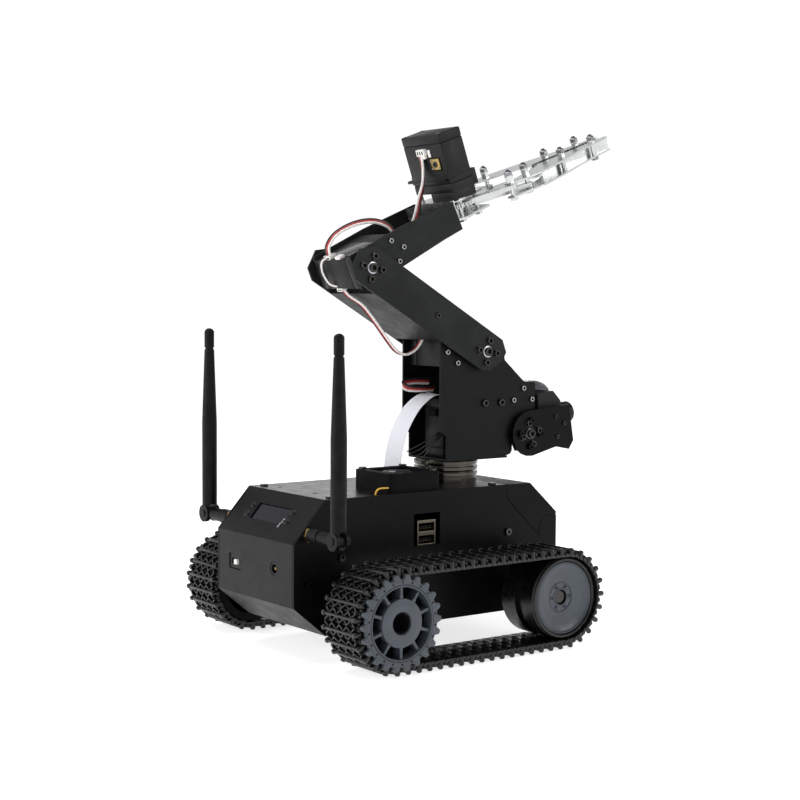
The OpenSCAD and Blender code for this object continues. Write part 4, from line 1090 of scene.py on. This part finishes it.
def make_lens():
    """Glass, rings and focus ridges of the camera's lens."""
    lens = Shape(CAM @ axes((0, 0, 4.4), (0, 1, 0), (1, 0, 0)))
    for i in range(7):
        lens.lathe([(7.3, 43 + i * 1.4), (7.7, 43.2 + i * 1.4), (7.7, 43.8 + i * 1.4), (7.3, 44 + i * 1.4)],
                   PLASTIC, None, 48, closed=True)
    lens.lathe([(5.5, 56.4), (7.2, 56.4), (7.2, 57), (6.9, 57.2), (5.7, 57.2)], ZINC, None, 48, closed=True)
    dome = [(0, 53.6), (5.5, 53.6), (5.2, 54.6), (3.6, 55.2), (1.8, 55.5), (0, 55.6)]
    lens.lathe(dome, LENS_GLASS, None, 40)
    lens.done("lens", "camera_head", "display_glass")


def make_socket_details():
    """Tongues of the stacked sockets and the bright pin of the power inlet."""
    low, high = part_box("usb_ports")
    middle = (low.x + high.x) / 2 / MM
    parts = Shape()
    for lift in (3.6, 11.5):
        z = low.z / MM + lift
        parts.box((middle - 5.4, -43.2, z - 0.9), (middle + 5.4, -36.2, z + 0.9), DULL_PLASTIC_AND_SHADE, 0.2)
        for i in range(4):
            x = middle - 3.6 + i * 2.4
            parts.box((x - 0.5, -43.1, z - 1.05), (x + 0.5, -37, z - 0.8), BRASS, 0.05)
    parts.rod((-103.4, -22.5, 57), (-95, -22.5, 57), 1, BRASS)
    parts.done("socket_contacts", "chassis", "brass")


def make_display_details():
    """Dark rings at the display's corners, with a light strip and a row of pins beside it."""
    slope = math.degrees(math.atan2(25.6, 23.1))
    bevel = Matrix.Translation((-104.4, 0, 74.2)) @ Matrix.Rotation(-math.radians(slope), 4, "Y")
    parts = Shape(bevel)
    for x in (14.5, 21.5):
        for y in (-21.5, 24.5):
            parts.lathe([(1.3, 0.02), (2.2, 0.02), (2.2, 0.35), (1.9, 0.5), (1.3, 0.5)], OXIDE,
                        Matrix.Translation((x, y, 0)), 24, closed=True)
    strip = Matrix.Translation((12.8, -17.4, 0.1)) @ Matrix.Rotation(math.radians(-14), 4, "Z")
    parts.box((-3.6, -0.35, -0.2), (3.6, 0.35, 0.35), ALLOY, 0.15, strip)
    for i in range(4):
        x = -2.7 + i * 1.8
        parts.rod(strip @ Vector((x, 0.9, -0.2)), strip @ Vector((x, 0.9, 0.3)), 0.4, ZINC, 10)
    parts.done("display_trim", "chassis", "plug_steel")


# ---------- stage ----------


def make_light(name, place, target, size, power):
    """Soft box aimed at a point."""
    data = bpy.data.lights.new(name, "AREA")
    data.shape = "RECTANGLE"
    data.size, data.size_y = size
    data.energy = power
    lamp = bpy.data.objects.new(name, data)
    bpy.context.scene.collection.objects.link(lamp)
    lamp.location = place
    lamp.rotation_euler = (Vector(target) - Vector(place)).to_track_quat("-Z", "Y").to_euler()


def make_world():
    """Surroundings that are white round the horizon and dim overhead."""
    world = bpy.data.worlds.new("studio")
    world.use_nodes = True
    tree = world.node_tree
    where = tree.nodes.new("ShaderNodeTexCoord")
    split = tree.nodes.new("ShaderNodeSeparateXYZ")
    ramp = tree.nodes.new("ShaderNodeValToRGB")
    stops = ((0.3, (1, 1, 1, 1)), (0.62, (0.2, 0.2, 0.21, 1)))
    for element, (position, color) in zip(ramp.color_ramp.elements, stops):
        element.position = position
        element.color = color
    tree.links.new(where.outputs["Generated"], split.inputs["Vector"])
    tree.links.new(split.outputs["Z"], ramp.inputs["Fac"])
    tree.links.new(ramp.outputs["Color"], tree.nodes["Background"].inputs["Color"])
    tree.nodes["Background"].inputs["Strength"].default_value = 1.05
    bpy.context.scene.world = world
    bpy.context.scene.view_settings.view_transform = "Standard"


def make_stage():
    """White floor that glows a little, and soft boxes overhead, to the left and to the right."""
    make_world()
    bpy.ops.mesh.primitive_circle_add(vertices=96, radius=9, fill_type="NGON", location=(0, 0, -0.0006))
    floor = bpy.context.object
    floor.name = "floor"
    pale = Finish("pale_floor", (0.9, 0.9, 0.9), 0.95).specular(0.0)
    pale.vary_color(pale.noise(3), 0.995, 1.005)
    pale.shader.inputs["Emission Color"].default_value = (1, 1, 1, 1)
    pale.shader.inputs["Emission Strength"].default_value = 0.72
    floor.data.materials.append(pale.material)
    make_light("top_box", (-0.4, 0.3, 1.6), (0, 0, 0.1), (1.2, 1.2), 14)
    make_light("left_box", (-1.5, 0.5, 0.5), (0, 0, 0.12), (1.0, 0.8), 7)
    make_light("right_box", (0.9, -1.3, 0.9), (0, 0, 0.2), (0.7, 0.7), 6)


make_camera()
make_leads()
make_ribbons()
make_tracks()
make_wheels()
make_servos()
make_gripper_hardware()
make_arm_hardware()
make_fan()
make_lens()
make_socket_details()
make_display_details()
finish_kept_parts()
make_stage()
